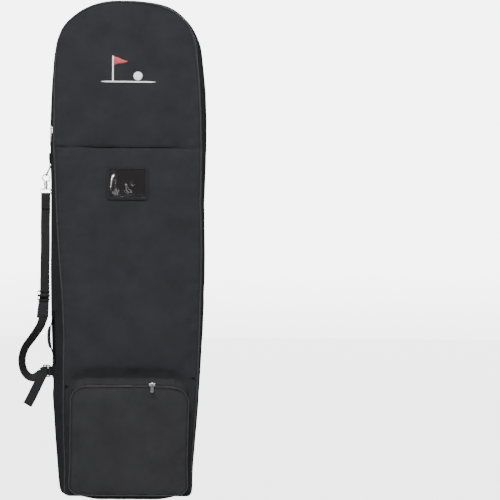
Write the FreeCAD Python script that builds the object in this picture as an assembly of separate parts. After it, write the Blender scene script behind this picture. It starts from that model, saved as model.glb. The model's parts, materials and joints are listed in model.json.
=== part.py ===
"""Golf travel case: a tall soft case that stands on two wheels and a padded foot, with a hood that unzips.

Frame: millimetres, +Z up, the front faces -Y. The origin is on the floor under the middle of the case.
Every sub-part is one STEP file in parts/, named after its node.
"""

import FreeCAD
import Part
import functools
import math
import os

V = FreeCAD.Vector
X, Y, Z = V(1, 0, 0), V(0, 1, 0), V(0, 0, 1)

# ---- driving sizes ----
HEIGHT = 1260.0  # floor to the top of the arch
DEPTH = 280.0  # front panel to back panel
WIDEST_HALF = 193.0  # half width where the sides bulge most
WIDEST_Z = 700.0
BOTTOM_HALF = 164.0  # half width at the lower edge
BASE_Z = 14.0  # the walls' lower edge above the floor
SHOULDER_R = 100.0  # rounding of the top corners
SHOULDER_Z = 1128.0
WALL = 3.0  # padded cloth
FRONT_INSET = 12.0  # the front panel is this much smaller all round than the middle of the case
BACK_INSET = 8.0
SEAM_Z = 880.0  # cross seam that the hood folds about
SEAM_GAP = 1.0
CROWN_Z = 1120.0  # the side panels end and the crown panel starts here
ZIP_Y = -100.0  # centre line of the main zipper, in the side walls

FRONT_Y, BACK_Y = -DEPTH / 2, DEPTH / 2
FAR = 2000.0  # larger than the case, for cutting

# ---- main zipper ----
ZIP_GAP = 0.8  # half the gap that the slider's neck runs in
COIL_W, COIL_T = 2.2, 1.6
TAPE_W, TAPE_T = 14.0, 0.8  # tape reaches this far from the centre line, inside the cloth edge
CLOTH_EDGE = 6.0  # cloth stops this far from the centre line
SLIDER_Z = 925.0  # where the slider is parked
MAIN_TRAVEL = 160.0

# ---- wheels ----
WHEEL_X, WHEEL_Y, WHEEL_R, WHEEL_W = 119.5, 125.0, 30.0, 22.0
HUB_R, BUSH_R, AXLE_R = 20.0, 5.5, 3.0
RUN_CLEARANCE = 0.06
WELL_R, WELL_HALF, WELL_T = 33.0, 14.0, 3.0
PLATE_HALF, PLATE_TOP, PLATE_T = 25.0, 92.0, 3.5
RIVET_Z, RIVET_R = 77.0, 2.5
FOOT_X, FOOT_Z, FOOT_R, FOOT_H = 106.0, 224.0, 11.0, 9.0
SCREW_R = 2.0
HOLE_SLACK = 0.1  # a rivet's or screw's hole is this much larger, each side

# ---- front pocket ----
POCKET_D = 33.0  # how far it stands out of the front panel
POCKET_BOTTOM, POCKET_FRONT_TOP, POCKET_BACK_TOP = 17.0, 286.0, 306.0
POCKET_TOP_HALF, POCKET_BOTTOM_HALF = 150.0, 144.0
POCKET_R = 30.0
POCKET_CLOTH = 2.5
POCKET_FACE_T = 3.0
POCKET_JOIN = 1.0  # gap between the bellows and the face that tips out
POCKET_ZIP_S = 30.0  # the zipper's centre line, measured down the sloping top
POCKET_ZIP_HALF = 116.0  # half the length of the pocket's straight zipper
POCKET_SLIDER_X = 58.0

# ---- shoulder strap and its metalwork ----
STRAP_Y = 15.0
WEB_W, WEB_T = 25.0, 2.0
RING_Z = 838.0  # straight bar of the upper ring
RING_HALF, RING_WIRE = 13.0, 1.8
RING_DROP = 28.0
RING_LEAN = 25.0  # degrees out from the wall
TAB_LOOP_R = 4.1
HOOK_IN, HOOK_OUT, HOOK_T = 7.0, 10.6, 5.0
EYE_TOP, EYE_LOW, EYE_HALF = 781.0, 765.0, 13.8
ADJUSTER_Z = 508.0
ANCHOR_Z = 316.0
BUCKLE_X0, BUCKLE_X1, BUCKLE_HALF = -211.8, -192.6, 16.0

# ---- small helpers ----
def box(x0, x1, y0, y1, z0, z1):
    return Part.makeBox(x1 - x0, y1 - y0, z1 - z0, V(x0, y0, z0))


def rod(start, direction, radius, length):
    return Part.makeCylinder(radius, length, start, direction)


def rod_x(x0, x1, y, z, radius):
    return rod(V(x0, y, z), X, radius, x1 - x0)


def prism(points, direction):
    """A solid from a closed outline of straight edges, swept along direction."""
    return Part.Face(Part.makePolygon(points + [points[0]])).extrude(direction)


def fuse(shapes):
    first = shapes[0]
    return first.multiFuse(shapes[1:]).removeSplitter() if len(shapes) > 1 else first


def group(shapes):
    return Part.makeCompound(shapes)


def mirror_x(shape):
    return shape.mirror(V(0, 0, 0), X)


def bead(path, radius):
    """A round cord along one tangent-continuous wire."""
    start = path.Edges[0]
    at = start.valueAt(start.FirstParameter)
    along = start.tangentAt(start.FirstParameter)
    ring = Part.Wire(Part.makeCircle(radius, at, along))
    return path.makePipeShell([ring], True, False)


def place(shape, at, outward, up):
    """Puts a solid made in a local frame at a point: local Y goes outward and local Z goes up."""
    side = outward.cross(up)
    matrix = FreeCAD.Matrix(
        side.x, outward.x, up.x, at.x,
        side.y, outward.y, up.y, at.y,
        side.z, outward.z, up.z, at.z,
        0, 0, 0, 1,
    )
    placed = shape.copy()
    placed.Placement = FreeCAD.Placement(matrix)
    return placed


def save(name, shape):
    shape.exportStep(os.path.join("parts", name + ".step"))


# ---- the case's outline, a tangent chain of arcs ----
SIDE_SAG = WIDEST_HALF - BOTTOM_HALF
SIDE_R = ((WIDEST_Z - BASE_Z) ** 2 + SIDE_SAG**2) / (2 * SIDE_SAG)
SIDE_CX = WIDEST_HALF - SIDE_R
SHOULDER_CX = SIDE_CX + math.sqrt((SIDE_R - SHOULDER_R) ** 2 - (SHOULDER_Z - WIDEST_Z) ** 2)
SHOULDER_DROP = SHOULDER_Z - HEIGHT
TOP_R = (SHOULDER_R**2 - SHOULDER_CX**2 - SHOULDER_DROP**2) / (2 * (SHOULDER_DROP + SHOULDER_R))
TOP_CZ = HEIGHT - TOP_R


def flat_unit(x, z):
    length = math.hypot(x, z)
    return x / length, z / length


def half_width(z, inset=0.0):
    """Half the width of the straight-sided part of the case at height z."""
    return SIDE_CX + math.sqrt((SIDE_R - inset) ** 2 - (z - WIDEST_Z) ** 2)


def half_points(inset):
    """The right half's points: foot, widest, side to shoulder, shoulder middle, shoulder to top, top."""
    u1 = flat_unit(SHOULDER_CX - SIDE_CX, SHOULDER_Z - WIDEST_Z)
    u2 = flat_unit(SHOULDER_CX, SHOULDER_Z - TOP_CZ)
    um = flat_unit(u1[0] + u2[0], u1[1] + u2[1])
    side, shoulder, top = SIDE_R - inset, SHOULDER_R - inset, TOP_R - inset
    return [
        (half_width(BASE_Z, inset), BASE_Z),
        (SIDE_CX + side, WIDEST_Z),
        (SIDE_CX + u1[0] * side, WIDEST_Z + u1[1] * side),
        (SHOULDER_CX + um[0] * shoulder, SHOULDER_Z + um[1] * shoulder),
        (u2[0] * top, TOP_CZ + u2[1] * top),
        (0.0, HEIGHT - inset),
    ]


def outline(inset, y):
    """The closed outline of the case in the plane at y."""
    right = [V(x, y, z) for x, z in half_points(inset)]
    left = [V(-p.x, y, p.z) for p in right]
    edges = [
        Part.LineSegment(left[0], right[0]).toShape(),
        Part.Arc(right[0], right[1], right[2]).toShape(),
        Part.Arc(right[2], right[3], right[4]).toShape(),
        Part.Arc(right[4], right[5], left[4]).toShape(),
        Part.Arc(left[4], left[3], left[2]).toShape(),
        Part.Arc(left[2], left[1], left[0]).toShape(),
    ]
    return Part.Wire(edges)


@functools.lru_cache(maxsize=None)
def body_solid(inset):
    """The case's full volume, shrunk all round by inset. Its sides bulge in the middle of the depth."""
    sections = [
        outline(FRONT_INSET + inset, FRONT_Y),
        outline(inset, 0.0),
        outline(BACK_INSET + inset, BACK_Y),
    ]
    return Part.makeLoft(sections, True, False)


def skin(outer, inner):
    """The band of wall between two insets, open at the front and back."""
    return body_solid(outer).cut(body_solid(inner))


def barrel_inset(y):
    """How far the sides have come in at depth y: a parabola through the loft's three outlines."""
    t = y / BACK_Y
    return (FRONT_INSET + BACK_INSET) / 2 * t * t - (FRONT_INSET - BACK_INSET) / 2 * t


def left_wall(y, z):
    """A point on the left wall's outer face."""
    return V(-half_width(z, barrel_inset(y)), y, z)


def wall_frame(y, z):
    """The left wall's outward normal and its upward direction at a point."""
    step = 5.0
    up = (left_wall(y, z + step) - left_wall(y, z - step)).normalize()
    back = (left_wall(y + step, z) - left_wall(y - step, z)).normalize()
    outward = up.cross(back).normalize()
    return outward, up


def on_left_wall(shape, y, z):
    """Puts a solid on the left wall, its local Y = 0 face against the cloth."""
    outward, up = wall_frame(y, z)
    return place(shape, left_wall(y, z), outward, up)


def plate(inset, y0, y1):
    """A flat panel with the case's outline."""
    return Part.Face(outline(inset, y0)).extrude(V(0, y1 - y0, 0))


# ---- the case's cloth panels ----
WALL_FRONT, WALL_BACK = FRONT_Y + WALL, BACK_Y - WALL
FLOOR_PANEL_T = 3.0
WALL_BOTTOM = BASE_Z + FLOOR_PANEL_T
HOOD_BOTTOM = SEAM_Z + SEAM_GAP


def wheel_wells(grow=0.0):
    radius, half = WELL_R + WELL_T + grow, WELL_HALF + WELL_T + grow
    return [rod_x(s * WHEEL_X - half, s * WHEEL_X + half, WHEEL_Y, WHEEL_R, radius) for s in (-1, 1)]


def back_holes():
    """Holes through the back panel for the housing rivets and the foot screws."""
    spots = [(WHEEL_X, RIVET_Z, RIVET_R), (FOOT_X, FOOT_Z, SCREW_R)]
    return [
        rod(V(side * x, WALL_BACK - 1, z), Y, radius + HOLE_SLACK, WALL + 2)
        for x, z, radius in spots for side in (-1, 1)
    ]


def wall_band():
    """All side walls of the case, with the hood's share cut away."""
    band = skin(0.0, WALL).common(box(-FAR, FAR, WALL_FRONT, WALL_BACK, WALL_BOTTOM, FAR))
    hood_share = box(-FAR, FAR, -FAR, ZIP_Y + CLOTH_EDGE, SEAM_Z, FAR)
    return band.cut(hood_share)


def make_walls():
    band = wall_band()
    save("left_side_panel", band.common(box(-FAR, 0, -FAR, FAR, 0, CROWN_Z)))
    save("right_side_panel", band.common(box(0, FAR, -FAR, FAR, 0, CROWN_Z)))
    save("crown_panel", band.common(box(-FAR, FAR, -FAR, FAR, CROWN_Z, FAR)))
    back = plate(BACK_INSET, WALL_BACK, BACK_Y)
    save("back_panel", back.cut(fuse(wheel_wells(0.3))).cut(group(back_holes())).common(above(WALL_BOTTOM)))
    front = plate(FRONT_INSET, FRONT_Y, WALL_FRONT)
    save("lower_front_panel", front.common(box(-FAR, FAR, -FAR, FAR, WALL_BOTTOM, SEAM_Z)))


def above(z):
    return box(-FAR, FAR, -FAR, FAR, z, FAR)


CROWN_PAD_T, CROWN_PAD_Z = 8.0, 960.0
CROWN_PAD_FRONT, CROWN_PAD_BACK = ZIP_Y + TAPE_W + 6.0, WALL_BACK - 17.0


def make_crown_pad():
    """Foam under the arch, behind the zipper, that guards the club heads."""
    foam = skin(WALL, WALL + CROWN_PAD_T)
    save("crown_pad", foam.common(box(-FAR, FAR, CROWN_PAD_FRONT, CROWN_PAD_BACK, CROWN_PAD_Z, FAR)))


# ---- the base, a shallow dished foot ----
DISH_TOP = (140.0, -125.0, 78.0)  # half width, front and back at the top of the dish
DISH_FOOT = (76.0, -105.0, 45.0)  # the same at the floor
DISH_CLOTH = 3.0
DISH_ROUND = 18.0
BOARD_T = 3.0
BOARD_IN = 10.0  # the board stops this far inside the foot's edge


def rounded_rectangle(half, y0, y1, z, radius):
    rectangle = Part.Face(Part.makePolygon([
        V(-half, y0, z), V(half, y0, z), V(half, y1, z), V(-half, y1, z), V(-half, y0, z),
    ])).extrude(Z)
    rounded = rectangle.makeFillet(radius, [e for e in rectangle.Edges if abs(e.tangentAt(0).z) > 0.9])
    face = [f for f in rounded.Faces if abs(f.CenterOfMass.z - z) < 1e-6][0]
    return face.OuterWire


def dish_outline(size, shrink, z):
    half, y0, y1 = size
    return rounded_rectangle(half - shrink, y0 + shrink, y1 - shrink, z, DISH_ROUND)


def dish(shrink, top_z, foot_z):
    foot, top = dish_outline(DISH_FOOT, shrink, foot_z), dish_outline(DISH_TOP, shrink, top_z)
    return Part.makeLoft([foot, top], True, True)


def make_base():
    slab = body_solid(0.0).common(box(-FAR, FAR, FRONT_Y, BACK_Y, BASE_Z, WALL_BOTTOM))
    hollow = dish(DISH_CLOTH, WALL_BOTTOM + 0.5, DISH_CLOTH)  # runs out above, to cut clean
    base = slab.fuse(dish(0.0, BASE_Z + 1.0, 0.0)).cut(hollow)
    save("base_panel", base.cut(fuse(wheel_wells(0.3))))
    half, y0, y1 = DISH_FOOT[0] - BOARD_IN, DISH_FOOT[1] + BOARD_IN, DISH_FOOT[2] - BOARD_IN
    save("base_board", box(-half, half, y0, y1, DISH_CLOTH, DISH_CLOTH + BOARD_T))


# ---- piping ----
PIPING_R = 2.0
PIPING_OUT = 1.5  # the cord's centre stands this far out of the corner, each way
PIPING_STOP = 9.5  # cords end this far from the hood's fold, so that it can fold


def arch_path(inset, y, z_low):
    """The outline's open wire from z_low on the left, over the top, to z_low on the right."""
    points = [V(x, y, z) for x, z in half_points(inset)]
    low, mid_z = V(half_width(z_low, inset), y, z_low), (z_low + points[2].z) / 2
    mid = V(half_width(mid_z, inset), y, mid_z)
    right = [low, mid] + points[2:]
    left = [V(-p.x, p.y, p.z) for p in right]
    return Part.Wire([
        Part.Arc(left[0], left[1], left[2]).toShape(),
        Part.Arc(left[2], left[3], left[4]).toShape(),
        Part.Arc(left[4], right[5], right[4]).toShape(),
        Part.Arc(right[4], right[3], right[2]).toShape(),
        Part.Arc(right[2], right[1], right[0]).toShape(),
    ])


def side_path(inset, y, z_low, z_high):
    z_mid = (z_low + z_high) / 2
    return Part.Wire([Part.Arc(*[V(half_width(z, inset), y, z) for z in (z_low, z_mid, z_high)]).toShape()])


def make_piping():
    corner = FRONT_INSET - PIPING_OUT
    y = FRONT_Y - PIPING_OUT
    save("hood_piping", bead(arch_path(corner, y, SEAM_Z + PIPING_STOP), PIPING_R))
    low_z = BASE_Z - PIPING_OUT
    side = bead(side_path(corner, y, BASE_Z + 2 * PIPING_R, SEAM_Z - PIPING_STOP), PIPING_R)
    foot = half_width(BASE_Z, corner)
    low = rod_x(-foot, foot, y, low_z, PIPING_R)
    save("lower_front_piping", group([side, mirror_x(side), low]))
    rear = arch_path(BACK_INSET - PIPING_OUT, BACK_Y + PIPING_OUT, WALL_BOTTOM + 2)
    save("back_piping", bead(rear, PIPING_R))


# ---- hood ----
HOOD_PAD_T = 8.0
HOOD_PAD_IN = WALL + 2.0  # the pad stops this far inside the panel's edge
EMBLEM_T = 0.8
EMBLEM_Z = 1076.0
POLE = [(-40, -30), (-36.5, -30), (-36.5, 32), (-40, 32)]  # the emblem's shapes, by x and height
FLAG = [(-36.3, 31), (0, 20), (-36.3, 9)]
GROUND = [(-70, -33), (70, -33), (58, -30.5), (-58, -30.5)]
BALL_X, BALL_DZ, BALL_R = 24.0, -17.0, 11.0


def make_hood():
    front = plate(FRONT_INSET, FRONT_Y, WALL_FRONT)
    save("hood_panel", front.common(above(HOOD_BOTTOM)))
    lip_space = box(-FAR, FAR, WALL_FRONT, ZIP_Y - CLOTH_EDGE, HOOD_BOTTOM, FAR)
    save("hood_lip", skin(0.0, WALL).common(lip_space))
    pad = plate(FRONT_INSET + HOOD_PAD_IN, WALL_FRONT, WALL_FRONT + HOOD_PAD_T)
    save("hood_pad", pad.common(above(HOOD_BOTTOM + HOOD_PAD_IN)))


def stitched(points):
    """A thin embroidered shape on the hood's face, drawn by its x and z."""
    return prism([V(x, FRONT_Y - EMBLEM_T, EMBLEM_Z + z) for x, z in points], V(0, EMBLEM_T, 0))


def make_emblem():
    """A plain pin flag, a ball and a ground line."""
    ball = rod(V(BALL_X, FRONT_Y - EMBLEM_T, EMBLEM_Z + BALL_DZ), Y, BALL_R, EMBLEM_T)
    save("emblem", group([stitched(POLE), stitched(FLAG), ball, stitched(GROUND)]))


# ---- main zipper ----
def zip_band(outer, inner, y0, y1, z_low):
    return skin(outer, inner).common(box(-FAR, FAR, y0, y1, z_low, FAR))


def make_main_zipper():
    coil = (WALL - COIL_T, WALL)
    tape = (WALL, WALL + TAPE_T)
    near, coil_far = ZIP_GAP, ZIP_GAP + COIL_W
    low = HOOD_BOTTOM + 1
    save("body_zip_coil", zip_band(*coil, ZIP_Y + near, ZIP_Y + coil_far, low))
    save("hood_zip_coil", zip_band(*coil, ZIP_Y - coil_far, ZIP_Y - near, low))
    save("body_zip_tape", zip_band(*tape, ZIP_Y + near, ZIP_Y + TAPE_W, low))
    save("hood_zip_tape", zip_band(*tape, ZIP_Y - TAPE_W, ZIP_Y - near, low))


SLIDER_L, SLIDER_W, SLIDER_T = 16.0, 9.0, 2.0
SLIDER_LIFT = 1.0  # the outer plate's underside above the coils' outer face
INNER_T = 1.4  # the plate behind the coils
NECK_T, NECK_L = 1.0, 5.0
POST_L = 2.0
BRIDGE_W, BRIDGE_TOP, BRIDGE_T = 3.0, 7.8, 1.4
INNER_TOP = -3.4
PULL_L, PULL_W, PULL_T = 32.0, 8.0, 1.6
PULL_BAR = V(0, 4.7, -0.7)  # the axis that the pull turns about, in the slider's frame
PULL_RIM = 0.9  # metal above that axis
PULL_WINDOW_HALF, PULL_WINDOW_L = 2.2, 6.8
PULL_HOLE_R, PULL_HOLE_UP = 2.0, 5.0
PULL_CORNER_R = 2.5


def slider_solid(bridge_w, bridge_top, bridge_t, inner_top, inner_reach):
    """A zip slider in its own frame: coils' outer face at Y = 0, travel along Z, teeth gap at X = 0.

    inner_reach is how far the plate behind the coils goes towards +X.
    """
    half, reach, top = SLIDER_W / 2, SLIDER_L / 2, SLIDER_LIFT + SLIDER_T
    outer = box(-half, half, SLIDER_LIFT, top, -reach, reach)
    inner = box(-half, inner_reach, inner_top - INNER_T, inner_top, -reach, reach)
    neck = box(-NECK_T / 2, NECK_T / 2, inner_top, SLIDER_LIFT, reach - 1 - NECK_L, reach - 1)
    w = bridge_w / 2
    posts = [box(-w, w, top, bridge_top, z0, z0 + POST_L) for z0 in (1 - reach, reach - 1 - POST_L)]
    arch = box(-w, w, bridge_top - bridge_t, bridge_top, 1 - reach, reach - 1)
    return fuse([outer, inner, neck, arch] + posts)


def main_pull_solid():
    """The pull in the slider's frame: a tab that hangs from the bridge, open round the lower post."""
    bar = PULL_BAR
    y0 = bar.y - PULL_T / 2
    top = bar.z + PULL_RIM
    tab = box(-PULL_W / 2, PULL_W / 2, y0, y0 + PULL_T, top - PULL_L, top)
    low, high = bar.z - PULL_RIM - PULL_WINDOW_L, bar.z - PULL_RIM
    window = box(-PULL_WINDOW_HALF, PULL_WINDOW_HALF, y0 - 1, y0 + PULL_T + 1, low, high)
    hole = rod(V(0, y0 - 1, top - PULL_L + PULL_HOLE_UP), Y, PULL_HOLE_R, PULL_T + 2)
    tab = tab.cut(window).cut(hole)
    low_edges = [e for e in tab.Edges if abs(e.tangentAt(0).y) > 0.9 and e.CenterOfMass.z < 1 + top - PULL_L]
    return tab.makeFillet(PULL_CORNER_R, low_edges)


def make_main_slider():
    """The slider follows a chord of the side's gentle arc."""
    up = wall_frame(ZIP_Y, SLIDER_Z + MAIN_TRAVEL / 2)[1]
    outward = V(-up.z, 0, up.x)
    at = V(-half_width(SLIDER_Z, barrel_inset(ZIP_Y) + WALL - COIL_T), ZIP_Y, SLIDER_Z)
    slider = slider_solid(BRIDGE_W, BRIDGE_TOP, BRIDGE_T, INNER_TOP, SLIDER_W / 2)
    save("main_slider", place(slider, at, outward, up))
    save("main_pull", place(main_pull_solid(), at, outward, up))


# ---- ID window ----
ID_HALF, ID_LOW, ID_HIGH = 51.0, 745.0, 833.0
ID_RIM = 7.0
ID_LAYERS = ((0.0, 1.0), (1.1, 1.6), (1.7, 2.8))  # backing, film and rim, out from the front panel


def make_id_window():
    def layer(index, shrink):
        near, far = ID_LAYERS[index]
        half = ID_HALF - shrink
        return box(-half, half, FRONT_Y - far, FRONT_Y - near, ID_LOW + shrink, ID_HIGH - shrink)
    save("id_backing", layer(0, 0.0))
    save("id_window", layer(1, 1.0))
    save("id_frame", layer(2, 0.0).cut(layer(2, ID_RIM)))


# ---- front pocket ----
POCKET_Y = FRONT_Y - POCKET_D
SLOPE = V(0, -POCKET_D, POCKET_FRONT_TOP - POCKET_BACK_TOP).normalize()
SLOPE_UP = V(0, SLOPE.z, -SLOPE.y)
SLOPE_LENGTH = math.hypot(POCKET_D, POCKET_BACK_TOP - POCKET_FRONT_TOP)
SLOPE_TOP = V(0, FRONT_Y, POCKET_BACK_TOP)


def pocket_wire(shrink, y, top):
    """A trapezium with rounded corners."""
    high, low, z0 = POCKET_TOP_HALF - shrink, POCKET_BOTTOM_HALF - shrink, POCKET_BOTTOM + shrink
    z1 = top - shrink
    flat = Part.makePolygon([V(-low, y, z0), V(low, y, z0), V(high, y, z1), V(-high, y, z1), V(-low, y, z0)])
    solid = Part.Face(flat).extrude(V(0, 1, 0))
    rounded = solid.makeFillet(POCKET_R - shrink, [e for e in solid.Edges if abs(e.tangentAt(0).y) > 0.9])
    face = [f for f in rounded.Faces if abs(f.CenterOfMass.y - y) < 1e-6][0]
    return face.OuterWire


def pocket_volume(shrink, y_front, y_back):
    """The pocket's bellows from the front panel out, with a top that slopes down to its face."""
    def top_at(y):
        return POCKET_BACK_TOP + (y - FRONT_Y) * (POCKET_BACK_TOP - POCKET_FRONT_TOP) / POCKET_D
    return Part.makeLoft([pocket_wire(shrink, y, top_at(y)) for y in (y_back, y_front)], True, True)


def slope_slab(s0, s1, depth0, depth1, half):
    """A slab along the sloping top: from s0 to s1 down the slope, between two depths under its surface."""
    spots = ((s0, depth0), (s1, depth0), (s1, depth1), (s0, depth1))
    corners = [SLOPE_TOP + SLOPE * s - SLOPE_UP * d for s, d in spots]
    return prism([p - X * half for p in corners], X * (2 * half))


PIPE_POCKET_R, PIPE_POCKET_OUT = 1.3, 0.95


def make_pocket():
    zip_s, beyond = POCKET_ZIP_S, SLOPE_LENGTH + 20
    face_back = POCKET_Y + POCKET_FACE_T
    bellows = pocket_volume(0.0, face_back + POCKET_JOIN, FRONT_Y)
    hollow = pocket_volume(POCKET_CLOTH, face_back + POCKET_JOIN - 1, FRONT_Y + 1)
    open_top = slope_slab(zip_s - CLOTH_EDGE, beyond, -10, 15, POCKET_ZIP_HALF + 1)
    save("pocket_bellows", bellows.cut(hollow).cut(open_top))

    face = Part.Face(pocket_wire(0.0, POCKET_Y, POCKET_FRONT_TOP)).extrude(V(0, POCKET_FACE_T, 0))
    brow = slope_slab(zip_s + CLOTH_EDGE, SLOPE_LENGTH - 0.4, 0.0, POCKET_CLOTH, POCKET_ZIP_HALF)
    save("pocket_face", fuse([face, brow]))

    rail, under, coil_far = POCKET_ZIP_HALF, POCKET_CLOTH, ZIP_GAP + COIL_W
    save("pocket_upper_tape", slope_slab(zip_s - TAPE_W, zip_s - ZIP_GAP, under, under + TAPE_T, rail))
    lower_tape = slope_slab(zip_s + ZIP_GAP, beyond, under, under + TAPE_T, rail)
    save("pocket_lower_tape", lower_tape.common(box(-FAR, FAR, face_back, FRONT_Y, 0, FAR)))
    save("pocket_upper_coil", slope_slab(zip_s - coil_far, zip_s - ZIP_GAP, under - COIL_T, under, rail))
    save("pocket_lower_coil", slope_slab(zip_s + ZIP_GAP, zip_s + coil_far, under - COIL_T, under, rail))
    pipe_y = POCKET_Y - PIPE_POCKET_OUT
    save("pocket_piping", bead(pocket_wire(-PIPE_POCKET_OUT, pipe_y, POCKET_FRONT_TOP), PIPE_POCKET_R))


RAIL_W = 1.6  # the pocket slider's bridge is a thin rail along the travel
RAIL_TOP = 6.7
POCKET_INNER_TOP, POCKET_INNER_REACH = -4.4, 2.4
EYE_IN, EYE_OUT, EYE_T = 1.5, 2.7, 3.0
POCKET_PULL_L = 34.0
POCKET_PULL_DROP = 36.0  # degrees below level, where the pull rests over the pocket's top edge


def make_pocket_slider():
    """The slider rides on the moving face; its inner plate is short on the bellows' side, to let it part."""
    at = SLOPE_TOP + SLOPE * POCKET_ZIP_S - SLOPE_UP * (POCKET_CLOTH - COIL_T)
    at = V(POCKET_SLIDER_X, at.y, at.z)
    slider = slider_solid(RAIL_W, RAIL_TOP, RAIL_W, POCKET_INNER_TOP, POCKET_INNER_REACH)
    save("pocket_slider", place(slider, at, SLOPE_UP, X))

    rail = at + SLOPE_UP * (RAIL_TOP - RAIL_W / 2)
    eye = rod(V(-EYE_T / 2, 0, 0), X, EYE_OUT, EYE_T)
    tab = box(-PULL_W / 2, PULL_W / 2, -PULL_T / 2, PULL_T / 2, -POCKET_PULL_L, -EYE_OUT - 1.0)
    neck = box(-EYE_T / 2, EYE_T / 2, -PULL_T / 2, PULL_T / 2, -EYE_OUT - 1.5, 0)
    tab = tab.makeFillet(PULL_CORNER_R, [e for e in tab.Edges if abs(e.tangentAt(0).y) > 0.9])
    hole = rod(V(0, -2, 1 + PULL_HOLE_UP - POCKET_PULL_L), Y, PULL_HOLE_R, 4)
    pull = fuse([eye, neck, tab]).cut(hole).cut(rod(V(-5, 0, 0), X, EYE_IN, 10))
    pull.rotate(V(0, 0, 0), X, POCKET_PULL_DROP - 90)
    pull.translate(rail)
    save("pocket_pull", pull)


# ---- wheels ----
FLANGE_T, FLANGE_DEEP = 2.5, 44.0  # the foot of the housing, under the base's rear edge
SLOT_HALF, SLOT_TOP = WELL_HALF, 60.0  # the opening that the tyre shows through
RIM_R = 1.2


def wheel_opening(x):
    """The upright slot in the plate and the slot in the flange, as one cutter."""
    behind = BACK_Y + PLATE_T + 1
    arch = rod(V(x, BACK_Y - 1, SLOT_TOP - SLOT_HALF), Y, SLOT_HALF, PLATE_T + 2)
    slot = box(x - SLOT_HALF, x + SLOT_HALF, BACK_Y - 1, behind, 0, SLOT_TOP - SLOT_HALF)
    front = WHEEL_Y - WELL_R + 4
    floor_slot = box(x - SLOT_HALF, x + SLOT_HALF, front, behind, 0, BASE_Z + 0.5)
    return fuse([arch, slot, floor_slot])


def make_housing(side, name):
    """A moulded well for one wheel, with a round-topped plate on the back of the case."""
    x, arch_z, low = side * WHEEL_X, PLATE_TOP - PLATE_HALF, BASE_Z - FLANGE_T
    face = box(x - PLATE_HALF, x + PLATE_HALF, BACK_Y, BACK_Y + PLATE_T, low, arch_z)
    face = face.fuse(rod(V(x, BACK_Y, arch_z), Y, PLATE_HALF, PLATE_T))
    outer = [e for e in face.Edges if abs(e.CenterOfMass.y - BACK_Y - PLATE_T) < 0.1]
    face = face.makeFillet(RIM_R, [e for e in outer if e.CenterOfMass.z > low + 1])
    behind = BACK_Y + PLATE_T
    flange = box(x - PLATE_HALF, x + PLATE_HALF, BACK_Y - FLANGE_DEEP, behind, low, BASE_Z)
    reach = WELL_HALF + WELL_T
    drum = rod_x(x - reach, x + reach, WHEEL_Y, WHEEL_R, WELL_R + WELL_T)
    drum = drum.common(box(-FAR, FAR, 0, BACK_Y, BASE_Z, FAR))
    cavity = rod_x(x - WELL_HALF, x + WELL_HALF, WHEEL_Y, WHEEL_R, WELL_R)
    pin = rod_x(x - 2 * reach, x + 2 * reach, WHEEL_Y, WHEEL_R, AXLE_R + 0.02)
    rivet = rod(V(x, BACK_Y - 1, RIVET_Z), Y, RIVET_R + HOLE_SLACK, PLATE_T + 2)
    body = fuse([face, flange, drum]).cut(fuse([cavity, wheel_opening(x)]))
    save(name, body.cut(pin).cut(rivet))


TYRE_SHOULDER_R = 7.5
HUB_DISH, HUB_RIM, BOSS_T = 4.0, 3.0, 2.5
BUSH_OVER = 0.8  # the bush stands out of the hub, to hold it off the well's cheeks
AXLE_HEAD_R, AXLE_HEAD_T = AXLE_R + 2.0, 1.5


def make_wheel(side, prefix):
    """Tread, dished hub, bush and axle of one wheel."""
    x, half = side * WHEEL_X, WHEEL_W / 2

    def disc(x0, x1, radius):
        return rod_x(x + x0, x + x1, WHEEL_Y, WHEEL_R, radius)

    tyre = disc(-half, half, WHEEL_R)
    tyre = tyre.makeFillet(TYRE_SHOULDER_R, tyre.Edges[0:1] + tyre.Edges[2:3])
    save(prefix + "_tyre", tyre.cut(disc(-2 * half, 2 * half, HUB_R)))
    dishes = [disc(x0, x0 + HUB_DISH, HUB_R - HUB_RIM) for x0 in (-half, half - HUB_DISH)]
    hub = disc(1 - half, half - 1, HUB_R).cut(fuse(dishes)).fuse(disc(-half, half, BUSH_R + BOSS_T))
    save(prefix + "_hub", hub.cut(disc(-2 * half, 2 * half, BUSH_R)))
    bush = disc(-half - BUSH_OVER, half + BUSH_OVER, BUSH_R)
    save(prefix + "_bush", bush.cut(disc(-2 * half, 2 * half, AXLE_R + RUN_CLEARANCE)))
    reach = WELL_HALF + WELL_T + 0.1
    axle = disc(-reach, reach, AXLE_R)
    heads = [disc(x0, x0 + AXLE_HEAD_T, AXLE_HEAD_R) for x0 in (-reach - AXLE_HEAD_T, reach)]
    save(prefix + "_axle", fuse([axle] + heads))


BACKING_T, BACKING_HALF, BACKING_HALF_Z = 1.5, 20.0, 8.0
DOME_R, DOME_DEEP = 7.0, 4.4  # the dome is the cap of a ball sunk this far into the plate
BURR_T = 1.6


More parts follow.
